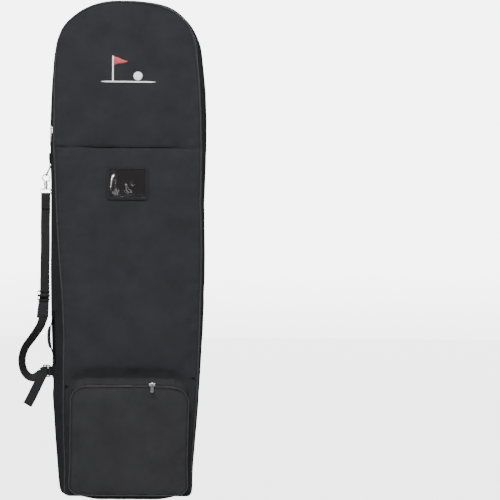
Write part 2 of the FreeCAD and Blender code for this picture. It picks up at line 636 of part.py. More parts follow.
def make_rivets():
    """A rivet, seen as a bright dome on each housing, clenched on a steel plate inside the case."""
    rivets, plates = [], []
    out, inside = BACK_Y + PLATE_T, WALL_BACK - BACKING_T
    for x in (-WHEEL_X, WHEEL_X):
        shank = rod(V(x, inside - 0.5, RIVET_Z), Y, RIVET_R, out - inside + 1.0)
        ball = Part.makeSphere(DOME_R, V(x, out - DOME_DEEP, RIVET_Z))
        dome = ball.common(box(-FAR, FAR, out, FAR, 0, FAR))
        burr = rod(V(x, inside - BURR_T, RIVET_Z), Y, RIVET_R + 2, BURR_T)
        rivets.append(fuse([shank, dome, burr]))
        low, high = RIVET_Z - BACKING_HALF_Z, RIVET_Z + BACKING_HALF_Z
        steel = box(x - BACKING_HALF, x + BACKING_HALF, inside, WALL_BACK, low, high)
        plates.append(steel.cut(rod(V(x, inside - 1, RIVET_Z), Y, RIVET_R + HOLE_SLACK, 5)))
    save("housing_rivets", group(rivets))
    save("backing_plates", group(plates))


FOOT_TAPER, FOOT_EDGE_R = 2.5, 2.0
RECESS_R, RECESS_DEEP = 4.4, 4.0
SCREW_HEAD_R, SCREW_HEAD_T = 4.0, 2.2
CROSS_HALF, CROSS_L, CROSS_DEEP = 0.5, 2.6, 1.2
WASHER_R, WASHER_T = 9.0, 1.2


def make_screw(at, inside):
    """A cross-head screw from the foot's recess to a little past the washer."""
    seat = at + Y * (FOOT_H - RECESS_DEEP)
    head = rod(seat, Y, SCREW_HEAD_R, SCREW_HEAD_T)
    y0, y1 = SCREW_HEAD_T - CROSS_DEEP, SCREW_HEAD_T + 1
    cross = fuse([
        box(-CROSS_HALF, CROSS_HALF, y0, y1, -CROSS_L, CROSS_L),
        box(-CROSS_L, CROSS_L, y0, y1, -CROSS_HALF, CROSS_HALF),
    ])
    cross.translate(seat)
    end = inside - 3
    shank = rod(V(at.x, end, at.z), Y, SCREW_R, seat.y + SCREW_HEAD_T / 4 - end)
    return fuse([head.cut(cross), shank])


def make_feet():
    """Moulded studs that the case lies on, each held by a screw and a wide washer inside."""
    feet, screws, washers = [], [], []
    inside = WALL_BACK - WASHER_T
    for x in (-FOOT_X, FOOT_X):
        at = V(x, BACK_Y, FOOT_Z)
        stud = Part.makeCone(FOOT_R, FOOT_R - FOOT_TAPER, FOOT_H, at, Y)
        top_edge = [e for e in stud.Edges if abs(e.CenterOfMass.y - BACK_Y - FOOT_H) < 0.1]
        stud = stud.makeFillet(FOOT_EDGE_R, top_edge)
        recess = rod(at + Y * (FOOT_H - RECESS_DEEP), Y, RECESS_R, RECESS_DEEP + 1)
        feet.append(stud.cut(recess).cut(rod(at - Y, Y, SCREW_R + HOLE_SLACK, FOOT_H + 2)))
        screws.append(make_screw(at, inside))
        ring = rod(V(x, inside, at.z), Y, WASHER_R, WASHER_T)
        washers.append(ring.cut(rod(V(x, inside - 1, at.z), Y, SCREW_R + HOLE_SLACK, 4)))
    save("rear_feet", group(feet))
    save("foot_screws", group(screws))
    save("foot_washers", group(washers))


# ---- side handle ----
HANDLE_Y, HANDLE_Z, HANDLE_W = -45.0, 404.0, 32.0
HANDLE_HALF, HANDLE_RISE, HANDLE_SEWN = 67.0, 11.0, 15.0
PATCH_T, PATCH_L, PATCH_OVER = 1.2, 13.0, 3.0


def make_side_handle():
    """A webbing grip on the left wall: two sewn ends and a bowed middle."""
    half, sewn, rise, y0 = HANDLE_HALF, HANDLE_HALF - HANDLE_SEWN, HANDLE_RISE, 0.2
    inner = [V(0, y0, -sewn), V(0, y0 + rise, 0), V(0, y0, sewn)]
    outer = [V(0, y0 + WEB_T, -sewn - 2), V(0, y0 + rise + WEB_T, 0), V(0, y0 + WEB_T, sewn + 2)]
    ends = [V(0, y0, -half), V(0, y0, half), V(0, y0 + WEB_T, half), V(0, y0 + WEB_T, -half)]
    edges = [
        Part.LineSegment(ends[0], inner[0]).toShape(),
        Part.Arc(*inner).toShape(),
        Part.LineSegment(inner[2], ends[1]).toShape(),
        Part.LineSegment(ends[1], ends[2]).toShape(),
        Part.LineSegment(ends[2], outer[2]).toShape(),
        Part.Arc(outer[2], outer[1], outer[0]).toShape(),
        Part.LineSegment(outer[0], ends[3]).toShape(),
        Part.LineSegment(ends[3], ends[0]).toShape(),
    ]
    grip = Part.Face(Part.Wire(edges)).extrude(X * HANDLE_W)
    grip.translate(X * (-HANDLE_W / 2))
    save("side_handle", on_left_wall(grip, HANDLE_Y, HANDLE_Z))
    reach, low = HANDLE_W / 2 + PATCH_OVER, y0 + WEB_T
    patches = [box(-reach, reach, low, low + PATCH_T, z0, z0 + PATCH_L) for z0 in (-half, half - PATCH_L)]
    save("handle_patches", on_left_wall(group(patches), HANDLE_Y, HANDLE_Z))


# ---- upper ring, hook and strap ----
RING_BAR = left_wall(STRAP_Y, RING_Z) - X * (TAB_LOOP_R + 0.1)
LEAN = math.radians(RING_LEAN)
RING_FOOT = RING_BAR + V(-math.sin(LEAN), 0, -math.cos(LEAN)) * RING_DROP
ANCHOR = left_wall(STRAP_Y, ANCHOR_Z) - X * 3.0
SWING_AXIS = (RING_FOOT - ANCHOR).normalize()
EYE_X = RING_FOOT.x
HOOK_Z = RING_FOOT.z - HOOK_IN + RING_WIRE + 0.5


def make_ring():
    """A D ring, leaning out from its webbing tab."""
    straight = RING_DROP - RING_HALF
    bar = rod(V(0, -RING_HALF, 0), Y, RING_WIRE, 2 * RING_HALF)
    legs = [rod(V(0, s * RING_HALF, 0), Z * -1, RING_WIRE, straight) for s in (-1, 1)]
    arc = Part.Arc(V(0, -RING_HALF, -straight), V(0, 0, -RING_DROP), V(0, RING_HALF, -straight))
    corners = [Part.makeSphere(RING_WIRE, V(0, s * RING_HALF, 0)) for s in (-1, 1)]
    ring = fuse([bar, bead(Part.Wire([arc.toShape()]), RING_WIRE)] + legs + corners)
    ring.rotate(V(0, 0, 0), Y, RING_LEAN)
    ring.translate(RING_BAR)
    save("d_ring", ring)


TAB_HALF, TAB_TOP = 11.0, 34.0


def make_ring_tab():
    """A short webbing tab, folded round the ring's bar and sewn to the wall."""
    tab = box(-TAB_HALF, TAB_HALF, 0, WEB_T, 0, TAB_TOP)
    loop = rod(V(-TAB_HALF, TAB_LOOP_R, 0), X, TAB_LOOP_R, 2 * TAB_HALF)
    hole = rod(V(-TAB_HALF - 1, TAB_LOOP_R, 0), X, RING_WIRE + 0.4, 2 * TAB_HALF + 2)
    placed = on_left_wall(fuse([tab, loop]).cut(hole), STRAP_Y, RING_Z)
    save("ring_tab", placed.translate(X * -0.1))


STEM_TOP_R, STEM_LOW_R, STEM_L = 4.0, 5.5, 10.5
BORE_FLARE = 1.5  # the bow's inner edges are taken back, so that it can turn on the ring
MOUTH_X, MOUTH_LOW, MOUTH_HIGH = 2.5, -5.5, 5.6  # the gap in the bow, from its centre
GATE_PIVOT = V(EYE_X + 8.6, STRAP_Y, HOOK_Z - 7.4)
EAR_R, EAR_HALF = 2.6, 2.5
GATE_SLOT_HALF, GATE_SLOT_REACH = 1.4, 3.6
PIN_R, PIN_HALF = 0.78, 2.4
GATE_HALF, KNUCKLE_R, GATE_TOP = 1.1, 1.8, 4.9
THUMB_OUT, THUMB_HALF = 3.0, 1.5


def make_hook():
    """The bow and stem of a swivel snap hook."""
    x, z, y0, y1 = EYE_X, HOOK_Z, STRAP_Y - HOOK_T / 2, STRAP_Y + HOOK_T / 2
    bore = rod(V(x, y0 - 1, z), Y, HOOK_IN, HOOK_T + 2)
    flares = [
        Part.makeCone(HOOK_IN + BORE_FLARE, HOOK_IN, BORE_FLARE, V(x, y0, z), Y),
        Part.makeCone(HOOK_IN + BORE_FLARE, HOOK_IN, BORE_FLARE, V(x, y1, z), Y * -1),
    ]
    ring = rod(V(x, y0, z), Y, HOOK_OUT, HOOK_T)
    mouth = box(x + MOUTH_X, x + 20, y0 - 1, y1 + 1, z + MOUTH_LOW, z + MOUTH_HIGH)
    stem = Part.makeCone(STEM_LOW_R, STEM_TOP_R, STEM_L + 1.5, V(x, STRAP_Y, z - HOOK_OUT - STEM_L), Z)
    pivot = GATE_PIVOT
    ears = rod(pivot - Y * EAR_HALF, Y, EAR_R, 2 * EAR_HALF)
    half, reach = GATE_SLOT_HALF, GATE_SLOT_REACH
    slot = box(
        pivot.x - reach, pivot.x + reach, STRAP_Y - half, STRAP_Y + half, pivot.z - reach, pivot.z + reach
    )
    pin_hole = rod(pivot - Y * 6, Y, PIN_R + 0.07, 12)
    solid = fuse([ring.cut(mouth), stem, ears])
    save("snap_hook", solid.cut(fuse([bore] + flares)).cut(slot).cut(pin_hole))


def make_gate():
    """The sprung lever that closes the hook's mouth, with its pin and thumb piece."""
    pivot, half, y0, y1 = GATE_PIVOT, GATE_HALF, STRAP_Y - GATE_HALF, STRAP_Y + GATE_HALF
    lever = box(pivot.x - half, pivot.x + half, y0, y1, pivot.z, HOOK_Z + GATE_TOP)
    knuckle = rod(pivot - Y * half, Y, KNUCKLE_R, 2 * half)
    pin = rod(pivot - Y * PIN_HALF, Y, PIN_R, 2 * PIN_HALF)
    thumb = box(pivot.x + 1.0, pivot.x + THUMB_OUT, y0, y1, HOOK_Z - THUMB_HALF, HOOK_Z + THUMB_HALF)
    save("hook_gate", fuse([lever, knuckle, pin, thumb]))


EYE_FRAME_HALF, EYE_FRAME_R = 1.8, 3.0
EYE_SIDE, EYE_LOW_BAR, EYE_HIGH_BAR = 1.9, 3.2, 4.0
COLLAR_R = 4.2


def make_eye():
    """The square eye that the webbing is sewn round, with the spigot that the hook turns on."""
    y0, y1 = STRAP_Y - EYE_FRAME_HALF, STRAP_Y + EYE_FRAME_HALF
    frame = box(EYE_X - EYE_HALF, EYE_X + EYE_HALF, y0, y1, EYE_LOW, EYE_TOP)
    frame = frame.makeFillet(EYE_FRAME_R, [e for e in frame.Edges if abs(e.tangentAt(0).y) > 0.9])
    inner, low, high = EYE_HALF - EYE_SIDE, EYE_LOW + EYE_LOW_BAR, EYE_TOP - EYE_HIGH_BAR
    window = box(EYE_X - inner, EYE_X + inner, y0 - 1, y1 + 1, low, high)
    stem_low = HOOK_Z - HOOK_OUT - STEM_L
    collar = rod(V(EYE_X, STRAP_Y, EYE_TOP - 1), Z, COLLAR_R, stem_low - 0.3 - EYE_TOP + 1)
    save("swivel_eye", frame.cut(window).fuse(collar))


def ribbon(points, y0, y1, thickness):
    """A strip of webbing seen on edge: its centre line is in the XZ plane and its width runs along Y."""
    sides = ([], [])
    for i, (x, z) in enumerate(points):
        before, after = points[max(i - 1, 0)], points[min(i + 1, len(points) - 1)]
        dx, dz = flat_unit(after[0] - before[0], after[1] - before[1])
        for side, sign in zip(sides, (1, -1)):
            side.append(V(x - sign * dz * thickness / 2, y0, z + sign * dx * thickness / 2))
    return prism(sides[0] + sides[1][::-1], V(0, y1 - y0, 0))


STRAP_HALF = WEB_W / 2 - 0.9
FALL_LOW = 446.0  # lower end of the doubled webbing under the adjuster
SLACK_HALF = 9.0  # the slack loop has turned edge on, and reads narrower
SLACK_T = 2.4
SLACK_LOOP = [
    (-213, 452), (-220, 428), (-240, 400), (-258, 374), (-266, 346), (-262, 320), (-250, 303), (-236, 298),
]
WRAP_X = BUCKLE_X0 + 1.4  # the lock's outer bar
WRAP_LOW, WRAP_HIGH = ANCHOR_Z - 12.0, ANCHOR_Z + 12.0
TAIL = [(-214, 322), (-211, 300), (-244, 226), (-262, 240)]  # the loose cut end, by its x and z
ADJUSTER_LOOP = 24.0  # the webbing round the adjuster reaches this far up and down


def eye_wrap():
    """The sewn loop of webbing round the eye's lower bar."""
    x, half, y = EYE_X, STRAP_HALF, STRAP_Y
    outer = box(x - half, x + half, y - 4.2, y + 4.2, EYE_LOW - 5, EYE_LOW + 5.6)
    return outer.cut(box(x - half - 1, x + half + 1, y - 2.2, y + 2.2, EYE_LOW - 0.4, EYE_LOW + 3.6))


def adjuster_wrap():
    """The webbing's two layers over the front and back of the adjuster, joined above and below it."""
    x, half, y, reach = EYE_X, STRAP_HALF, STRAP_Y, ADJUSTER_LOOP
    low, high = ADJUSTER_Z - reach, ADJUSTER_Z + reach
    layers = [box(x - half, x + half, y + s * 4.4 - 1, y + s * 4.4 + 1, low, high) for s in (-1, 1)]
    joins = [box(x - half, x + half, y - 5.4, y + 5.4, z0, z0 + 3) for z0 in (low, high - 3)]
    return layers + joins


def lock_wrap():
    """The webbing round the ladder lock's outer bar."""
    y, x0, x1 = STRAP_Y, WRAP_X - 4.0, WRAP_X + 3.4
    outer = box(x0, x1, y - 4.0, y + 4.0, WRAP_LOW, WRAP_HIGH)
    return outer.cut(box(x0 + 2.0, x1 - 1.7, y - 1.8, y + 1.8, WRAP_LOW - 4, WRAP_HIGH + 4))


def make_strap():
    """One length of webbing: sewn round the eye, through the adjuster, round the slack loop, to the lock."""
    x, half, y = EYE_X, STRAP_HALF, STRAP_Y
    run = box(x - half, x + half, y - 1.6, y + 1.6, ADJUSTER_Z + 22, EYE_LOW - 4)
    fall = box(x - half, x + half, y - 1.2, y + 1.2, FALL_LOW, ADJUSTER_Z - 22)
    loop = ribbon(SLACK_LOOP, y - SLACK_HALF, y + SLACK_HALF, SLACK_T)
    back_in = [(-240, 298), (-226, 302), (WRAP_X - 2.5, 312)]
    back_in = ribbon(back_in, y - SLACK_HALF, y + SLACK_HALF, SLACK_T)
    tail = prism([V(px, y - 3.8, pz) for px, pz in TAIL], Y * WEB_T)
    save("shoulder_strap", fuse([eye_wrap(), run, fall, loop, back_in, lock_wrap(), tail] + adjuster_wrap()))


ADJUSTER_HALF, ADJUSTER_HALF_Z, ADJUSTER_HALF_T = 16.0, 13.0, 2.4
ADJUSTER_SIDE, ADJUSTER_SLOT, ADJUSTER_BAR = 1.1, 6.0, 3.0


def make_adjuster():
    """A three-bar slide that sets the strap's length."""
    x, y, z = EYE_X - 3.0, STRAP_Y, ADJUSTER_Z
    half, half_z, half_t = ADJUSTER_HALF, ADJUSTER_HALF_Z, ADJUSTER_HALF_T
    frame = box(x - half, x + half, y - half_t, y + half_t, z - half_z, z + half_z)
    frame = frame.makeFillet(3.0, [e for e in frame.Edges if abs(e.tangentAt(0).y) > 0.9])
    inner, slot = half - ADJUSTER_SIDE, ADJUSTER_SLOT
    lows = (z - ADJUSTER_BAR - slot, z + ADJUSTER_BAR)
    windows = [box(x - inner, x + inner, y - 5, y + 5, low, low + slot) for low in lows]
    save("strap_adjuster", frame.cut(fuse(windows)))


LOCK_HALF_T, LOCK_SLOT, LOCK_SLOT_HALF, LOCK_BAR = 1.2, 5.4, 12.9, 2.8


def make_ladder_lock():
    """A flat frame with a bar for the anchor tab near the case and a bar for the strap outside."""
    z, y, t = ANCHOR_Z, STRAP_Y, LOCK_HALF_T
    frame = box(BUCKLE_X0, BUCKLE_X1, y - t, y + t, z - BUCKLE_HALF, z + BUCKLE_HALF)
    frame = frame.makeFillet(2.5, [e for e in frame.Edges if abs(e.tangentAt(0).y) > 0.9])
    starts, half = (BUCKLE_X0 + LOCK_BAR, BUCKLE_X1 - LOCK_BAR - LOCK_SLOT), LOCK_SLOT_HALF
    slots = [box(x0, x0 + LOCK_SLOT, y - 5, y + 5, z - half, z + half) for x0 in starts]
    save("ladder_lock", frame.cut(fuse(slots)))


def make_anchor():
    """The lower tab: a sewn patch on the wall, and the loop that holds the ladder lock."""
    z, y, half = ANCHOR_Z, STRAP_Y, WEB_W / 2
    save("anchor_patch", on_left_wall(box(-14, 14, 0.1, 1.6, -17, 17), y, z))
    bar = BUCKLE_X1 - LOCK_BAR / 2
    neck = box(bar - 0.8, ANCHOR.x, y - WEB_T / 2, y + WEB_T / 2, z - half, z + half)
    loop = box(bar - 4.8, bar + 4.4, y - 3.2, y + 3.2, z - half, z + half)
    hole = box(bar - 2.8, bar + 2.4, y - 1.8, y + 1.8, z - 20, z + 20)
    save("anchor_loop", fuse([neck, loop]).cut(hole))


def main():
    os.makedirs("parts", exist_ok=True)
    make_walls()
    make_crown_pad()
    make_base()
    make_piping()
    make_hood()
    make_emblem()
    make_main_zipper()
    make_main_slider()
    make_id_window()
    make_pocket()
    make_pocket_slider()
    for side, name in ((-1, "left"), (1, "right")):
        make_housing(side, name + "_wheel_housing")
        make_wheel(side, name)
    make_rivets()
    make_feet()
    make_side_handle()
    make_ring()
    make_ring_tab()
    make_hook()
    make_gate()
    make_eye()
    make_strap()
    make_adjuster()
    make_ladder_lock()
    make_anchor()


main()
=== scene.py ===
"""Looks of the golf travel case: cloth shells, pocket, strap, zippers, window, emblem, materials and light."""

import json
import math

import bmesh
import bpy
import numpy as np
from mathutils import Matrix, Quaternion, Vector
from mathutils.bvhtree import BVHTree
from mathutils.noise import noise

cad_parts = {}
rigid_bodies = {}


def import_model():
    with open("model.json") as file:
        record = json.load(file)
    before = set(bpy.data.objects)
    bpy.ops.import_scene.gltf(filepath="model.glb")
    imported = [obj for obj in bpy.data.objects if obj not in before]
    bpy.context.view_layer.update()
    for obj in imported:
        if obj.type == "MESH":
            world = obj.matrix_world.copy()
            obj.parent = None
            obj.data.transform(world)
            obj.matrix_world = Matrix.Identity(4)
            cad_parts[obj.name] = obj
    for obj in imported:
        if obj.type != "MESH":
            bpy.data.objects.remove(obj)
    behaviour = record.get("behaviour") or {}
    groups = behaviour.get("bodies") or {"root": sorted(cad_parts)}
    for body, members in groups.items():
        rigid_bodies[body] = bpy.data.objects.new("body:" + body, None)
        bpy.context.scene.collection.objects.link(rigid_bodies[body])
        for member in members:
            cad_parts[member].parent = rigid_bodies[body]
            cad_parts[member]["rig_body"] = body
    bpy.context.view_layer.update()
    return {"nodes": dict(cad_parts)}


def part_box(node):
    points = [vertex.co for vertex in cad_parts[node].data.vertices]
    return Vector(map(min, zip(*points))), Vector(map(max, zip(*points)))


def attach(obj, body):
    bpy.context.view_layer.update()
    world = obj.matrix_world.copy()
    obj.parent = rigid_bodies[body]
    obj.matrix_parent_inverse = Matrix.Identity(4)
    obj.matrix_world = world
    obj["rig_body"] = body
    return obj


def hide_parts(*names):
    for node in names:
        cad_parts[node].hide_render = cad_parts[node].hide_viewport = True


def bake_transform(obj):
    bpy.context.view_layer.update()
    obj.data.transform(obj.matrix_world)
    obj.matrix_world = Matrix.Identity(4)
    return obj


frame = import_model()
NODES = frame["nodes"]
MM = 0.001

# ---- driving sizes, in metres ----
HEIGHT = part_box("crown_panel")[1].z
FRONT_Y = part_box("lower_front_panel")[0].y
BACK_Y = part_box("back_panel")[1].y
HALF_DEPTH = BACK_Y
BASE_Z = 0.014
SEAM_Z = 0.8805
WIDEST_HALF, WIDEST_Z, BOTTOM_HALF = 0.193, 0.700, 0.164
SHOULDER_R, SHOULDER_Z = 0.100, 1.128
FRONT_INSET, BACK_INSET = 0.012, 0.008
ZIP_Y, CLOTH_EDGE = -0.100, 0.006
CLOTH_T = 0.0026

SIDE_SAG = WIDEST_HALF - BOTTOM_HALF
SIDE_R = ((WIDEST_Z - BASE_Z) ** 2 + SIDE_SAG**2) / (2 * SIDE_SAG)
SIDE_CX = WIDEST_HALF - SIDE_R
SHOULDER_CX = SIDE_CX + math.sqrt((SIDE_R - SHOULDER_R) ** 2 - (SHOULDER_Z - WIDEST_Z) ** 2)
DROP = SHOULDER_Z - HEIGHT
TOP_R = (SHOULDER_R**2 - SHOULDER_CX**2 - DROP**2) / (2 * (DROP + SHOULDER_R))
TOP_CZ = HEIGHT - TOP_R
A_SIDE = math.atan2(SHOULDER_Z - WIDEST_Z, SHOULDER_CX - SIDE_CX)
A_TOP = math.atan2(SHOULDER_Z - TOP_CZ, SHOULDER_CX)


# ---- small helpers ----
def link(obj):
    bpy.context.scene.collection.objects.link(obj)
    return obj


def mesh_object(name, verts, faces, smooth=True):
    mesh = bpy.data.meshes.new(name)
    mesh.from_pydata([tuple(v) for v in verts], [], faces)
    mesh.polygons.foreach_set("use_smooth", [smooth] * len(mesh.polygons))
    mesh.update()
    return link(bpy.data.objects.new(name, mesh))


def grid_faces(columns, rows):
    """Quads over a grid of columns by rows cells, whose points are numbered row by row."""
    n = columns + 1
    starts = [j * n + i for j in range(rows) for i in range(columns)]
    return [(a, a + 1, a + n + 1, a + n) for a in starts]


def apply_modifiers(obj):
    depsgraph = bpy.context.evaluated_depsgraph_get()
    made = bpy.data.meshes.new_from_object(obj.evaluated_get(depsgraph))
    obj.modifiers.clear()
    obj.data = made
    return obj


def with_modifier(obj, kind, **settings):
    modifier = obj.modifiers.new(kind.lower(), kind)
    for key, value in settings.items():
        setattr(modifier, key, value)
    return obj


def drop_loose(obj, outward=False):
    """Takes out the points that no face uses, and turns the faces outward if asked."""
    mesh = bmesh.new()
    mesh.from_mesh(obj.data)
    bmesh.ops.delete(mesh, geom=[v for v in mesh.verts if not v.link_faces], context="VERTS")
    if outward:
        bmesh.ops.recalc_face_normals(mesh, faces=mesh.faces)
    mesh.to_mesh(obj.data)
    mesh.free()
    obj.data.polygons.foreach_set("use_smooth", [True] * len(obj.data.polygons))


def finish_mesh(obj, material, body, slot, *replaced, levels=0, settled=True):
    """Applies what is on the mesh, settles and dresses it and puts it on its body."""
    if levels:
        with_modifier(obj, "SUBSURF", levels=levels, render_levels=levels)
    apply_modifiers(obj)
    if settled:
        for vertex in obj.data.vertices:
            vertex.co = settle(vertex.co)
    obj.data.materials.clear()
    obj.data.materials.append(material)
    if body:
        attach(obj, body)
    if replaced:
        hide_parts(*replaced)
    return obj


def smooth_step(t):
    t = np.clip(t, 0.0, 1.0)
    return t * t * (3 - 2 * t)


# ---- materials ----
class Nodes:
    """A thin wrapper that adds nodes to a material and links them."""

    def __init__(self, name, **sockets):
        self.material = bpy.data.materials.new(name)
        self.material.use_nodes = True
        self.tree = self.material.node_tree
        self.shader = self.tree.nodes["Principled BSDF"]
        for key, value in sockets.items():
            self.shader.inputs[key.replace("_", " ")].default_value = value
        self.coords = self.add("ShaderNodeTexCoord").outputs["Object"]

    def add(self, kind, _inputs=None, **settings):
        node = self.tree.nodes.new(kind)
        for key, value in settings.items():
            setattr(node, key, value)
        for key, value in (_inputs or {}).items():
            if isinstance(value, bpy.types.NodeSocket):
                self.tree.links.new(value, node.inputs[key])
            else:
                node.inputs[key].default_value = value
        return node

    def noise(self, scale, detail=3.0, rough=0.5, coords=None):
        inputs = {"Vector": coords or self.coords, "Scale": scale, "Detail": detail, "Roughness": rough}
        return self.add("ShaderNodeTexNoise", inputs).outputs["Fac"]

    def math(self, operation, a, b=0.0):
        return self.add("ShaderNodeMath", {0: a, 1: b}, operation=operation).outputs[0]

    def ramp(self, fac, low, high, start=0.3, end=0.7):
        node = self.add("ShaderNodeValToRGB", {"Fac": fac})
        elements = node.color_ramp.elements
        elements[0].position, elements[1].position = start, end
        elements[0].color, elements[1].color = (*low, 1), (*high, 1)
        return node.outputs["Color"]

    def bump(self, height, distance, strength=1.0, onto=None):
        inputs = {"Height": height, "Distance": distance, "Strength": strength}
        if onto is not None:
            inputs["Normal"] = onto
        return self.add("ShaderNodeBump", inputs).outputs["Normal"]

    def to_shader(self, socket, output):
        self.tree.links.new(output, self.shader.inputs[socket])

    def stripes(self, direction, pitch):
        """Rounded ridges across direction, one to each pitch, from 0 to 1."""
        along = self.add("ShaderNodeVectorMath", {0: self.coords, 1: direction}, operation="DOT_PRODUCT")
        angle = self.math("MULTIPLY", along.outputs["Value"], 2 * math.pi / pitch)
        return self.math("MULTIPLY_ADD", self.math("SINE", angle), 0.5)


def scaled(colour, k):
    return tuple(min(1.0, c * k) for c in colour)


def woven(name, colour, pitch=0.0011, sheen=0.004, rough=0.92, relief=0.00022, patch=0.14):
    """Plain weave: two sets of ridges, mottled a little, with soft unevenness over a hand's width."""
    n = Nodes(name, Roughness=rough, Sheen_Weight=sheen, Sheen_Roughness=0.45, Specular_IOR_Level=0.0)
    warp = n.stripes((1.0, 1.0, 0.0), pitch)
    weft = n.stripes((0.0, 0.35, 1.0), pitch)
    cloth = n.math("MULTIPLY", warp, weft)
    mottle = n.noise(14.0, 4.0, 0.6)
    threads = n.noise(900.0, 2.0, 0.6)
    shade = n.math("ADD", n.math("MULTIPLY", mottle, 0.65), n.math("MULTIPLY", threads, 0.35))
    n.to_shader("Base Color", n.ramp(shade, scaled(colour, 1 - patch), scaled(colour, 1 + patch), 0.35, 0.65))
    soft = n.bump(n.noise(32.0, 3.0, 0.5), 0.0016, 0.5)
    n.to_shader("Normal", n.bump(cloth, relief, 0.7, soft))
    return n.material


def webbing(name, colour):
    """Ribbed narrow webbing with a slight lustre."""
    n = Nodes(name, Roughness=0.62, Sheen_Weight=0.02, Sheen_Roughness=0.4, Specular_IOR_Level=0.18)
    weft = n.stripes((0.3, 0.3, 1.0), 0.0015)
    warp = n.stripes((1.0, 1.0, 0.0), 0.0021)
    threads = n.noise(700.0, 2.0)
    n.to_shader("Base Color", n.ramp(threads, scaled(colour, 0.75), scaled(colour, 1.3)))
    n.to_shader("Normal", n.bump(n.math("ADD", weft, warp), 0.00025, 0.8))
    return n.material


def corded(name, colour):
    """Bias binding drawn tight over a cord: fine diagonal ribs."""
    n = Nodes(name, Roughness=0.6, Sheen_Weight=0.05, Specular_IOR_Level=0.3)
    ribs = n.stripes((0.7, 0.5, 0.9), 0.0012)
    n.to_shader("Base Color", n.ramp(n.noise(60.0), scaled(colour, 0.8), scaled(colour, 1.25)))
    n.to_shader("Normal", n.bump(ribs, 0.00018, 0.7))
    return n.material


def moulded(name, colour, rough=0.48, grain=420.0, relief=0.00012):
    """Injection-moulded plastic with a fine spark-eroded grain and faint handling wear."""
    n = Nodes(name, Specular_IOR_Level=0.25)
    wear = n.noise(26.0, 5.0, 0.65)
    n.to_shader("Base Color", n.ramp(wear, scaled(colour, 0.85), scaled(colour, 1.3)))
    n.to_shader("Roughness", n.math("MULTIPLY_ADD", wear, 0.18))
    n.tree.nodes[-1].inputs[2].default_value = rough - 0.09
    n.to_shader("Normal", n.bump(n.noise(grain, 3.0), relief, 0.6))
    return n.material


def rubbery(name, colour):
    n = Nodes(name, Specular_IOR_Level=0.4)
    scuff = n.noise(70.0, 6.0, 0.7)
    n.to_shader("Base Color", n.ramp(scuff, scaled(colour, 0.75), scaled(colour, 1.5)))
    n.to_shader("Roughness", n.ramp(scuff, (0.55,) * 3, (0.8,) * 3))
    n.to_shader("Normal", n.bump(n.noise(260.0, 4.0), 0.00015, 0.6))
    return n.material


def plated(name, colour, rough=0.22):
    """Plated die casting: slightly uneven polish with fine rub marks."""
    n = Nodes(name, Metallic=1.0)
    rub = n.noise(180.0, 5.0, 0.7)
    n.to_shader("Base Color", n.ramp(n.noise(40.0), scaled(colour, 0.85), scaled(colour, 1.12)))
    n.to_shader("Roughness", n.ramp(rub, (rough,) * 3, (rough + 0.2,) * 3))
    n.to_shader("Normal", n.bump(rub, 0.00006, 0.4))
    return n.material


def clear_film(name):
    n = Nodes(name, Base_Color=(0.0085, 0.0072, 0.0076, 1), Roughness=0.08, Specular_IOR_Level=0.42, Alpha=0.62)
    n.to_shader("Normal", n.bump(n.noise(40.0, 2.0), 0.0003, 0.5))
    n.material.surface_render_method = "BLENDED"
    return n.material


def satin_thread(name, colour, gloss=0.5):
    n = Nodes(name, Roughness=0.67 - 0.5 * gloss, Sheen_Weight=0.6 * gloss, Specular_IOR_Level=gloss)
    n.to_shader("Base Color", n.ramp(n.noise(400.0, 2.0), scaled(colour, 0.8), scaled(colour, 1.1)))
    n.to_shader("Normal", n.bump(n.noise(1500.0, 2.0), 0.0001, 0.5))
    return n.material


CLOTH = woven("case_cloth", (0.0186, 0.0189, 0.0207))
BINDING = woven("binding", (0.0185, 0.0183, 0.0195), pitch=0.0007, rough=0.6)
POCKET_TAPE = woven("pocket_zip_tape", (0.070, 0.056, 0.057), pitch=0.0007, rough=0.7, sheen=0.1)
# Painted light: the pocket's cloth is the case's cloth painted a little lighter, to make up for the shade its
# face gets.
POCKET_CLOTH_PAINTED_LIGHT = woven("pocket_cloth", (0.0212, 0.0211, 0.0222))
LINING = woven("lining", (0.050, 0.050, 0.054), pitch=0.0018, sheen=0.1, relief=0.0003)
TAPE = woven("zip_tape", (0.020, 0.018, 0.019), pitch=0.0008, rough=0.7)
PIPING = corded("piping", (0.0095, 0.0095, 0.0105))
WEBBING = webbing("webbing", (0.0085, 0.0085, 0.0092))
COIL = moulded("zip_coil", (0.014, 0.014, 0.015), rough=0.4)
HOUSING = moulded("housing_plastic", (0.012, 0.012, 0.013), rough=0.5)
BUCKLE = moulded("buckle_plastic", (0.008, 0.008, 0.0085), rough=0.82)
HUB = moulded("hub_plastic", (0.045, 0.045, 0.047), rough=0.38)
BOARD = moulded("base_board", (0.03, 0.03, 0.03), rough=0.6, grain=120.0)
TREAD = rubbery("wheel_tread", (0.055, 0.052, 0.053))
FOOT = rubbery("foot_rubber", (0.018, 0.018, 0.019))
ZINC = plated("nickel_plate", (0.60, 0.60, 0.61))
STEEL = plated("zinc_plate", (0.50, 0.50, 0.51), rough=0.32)
FILM = clear_film("window_film")
BACKING = woven("window_backing", (0.0135, 0.0124, 0.0128), pitch=0.0009, relief=0.0001)
WHITE_THREAD = satin_thread("white_thread", (0.72, 0.72, 0.73))
RED_THREAD = satin_thread("red_thread", (0.42, 0.035, 0.04))
DARK_THREAD = satin_thread("dark_thread", (0.018, 0.018, 0.020), gloss=0.06)

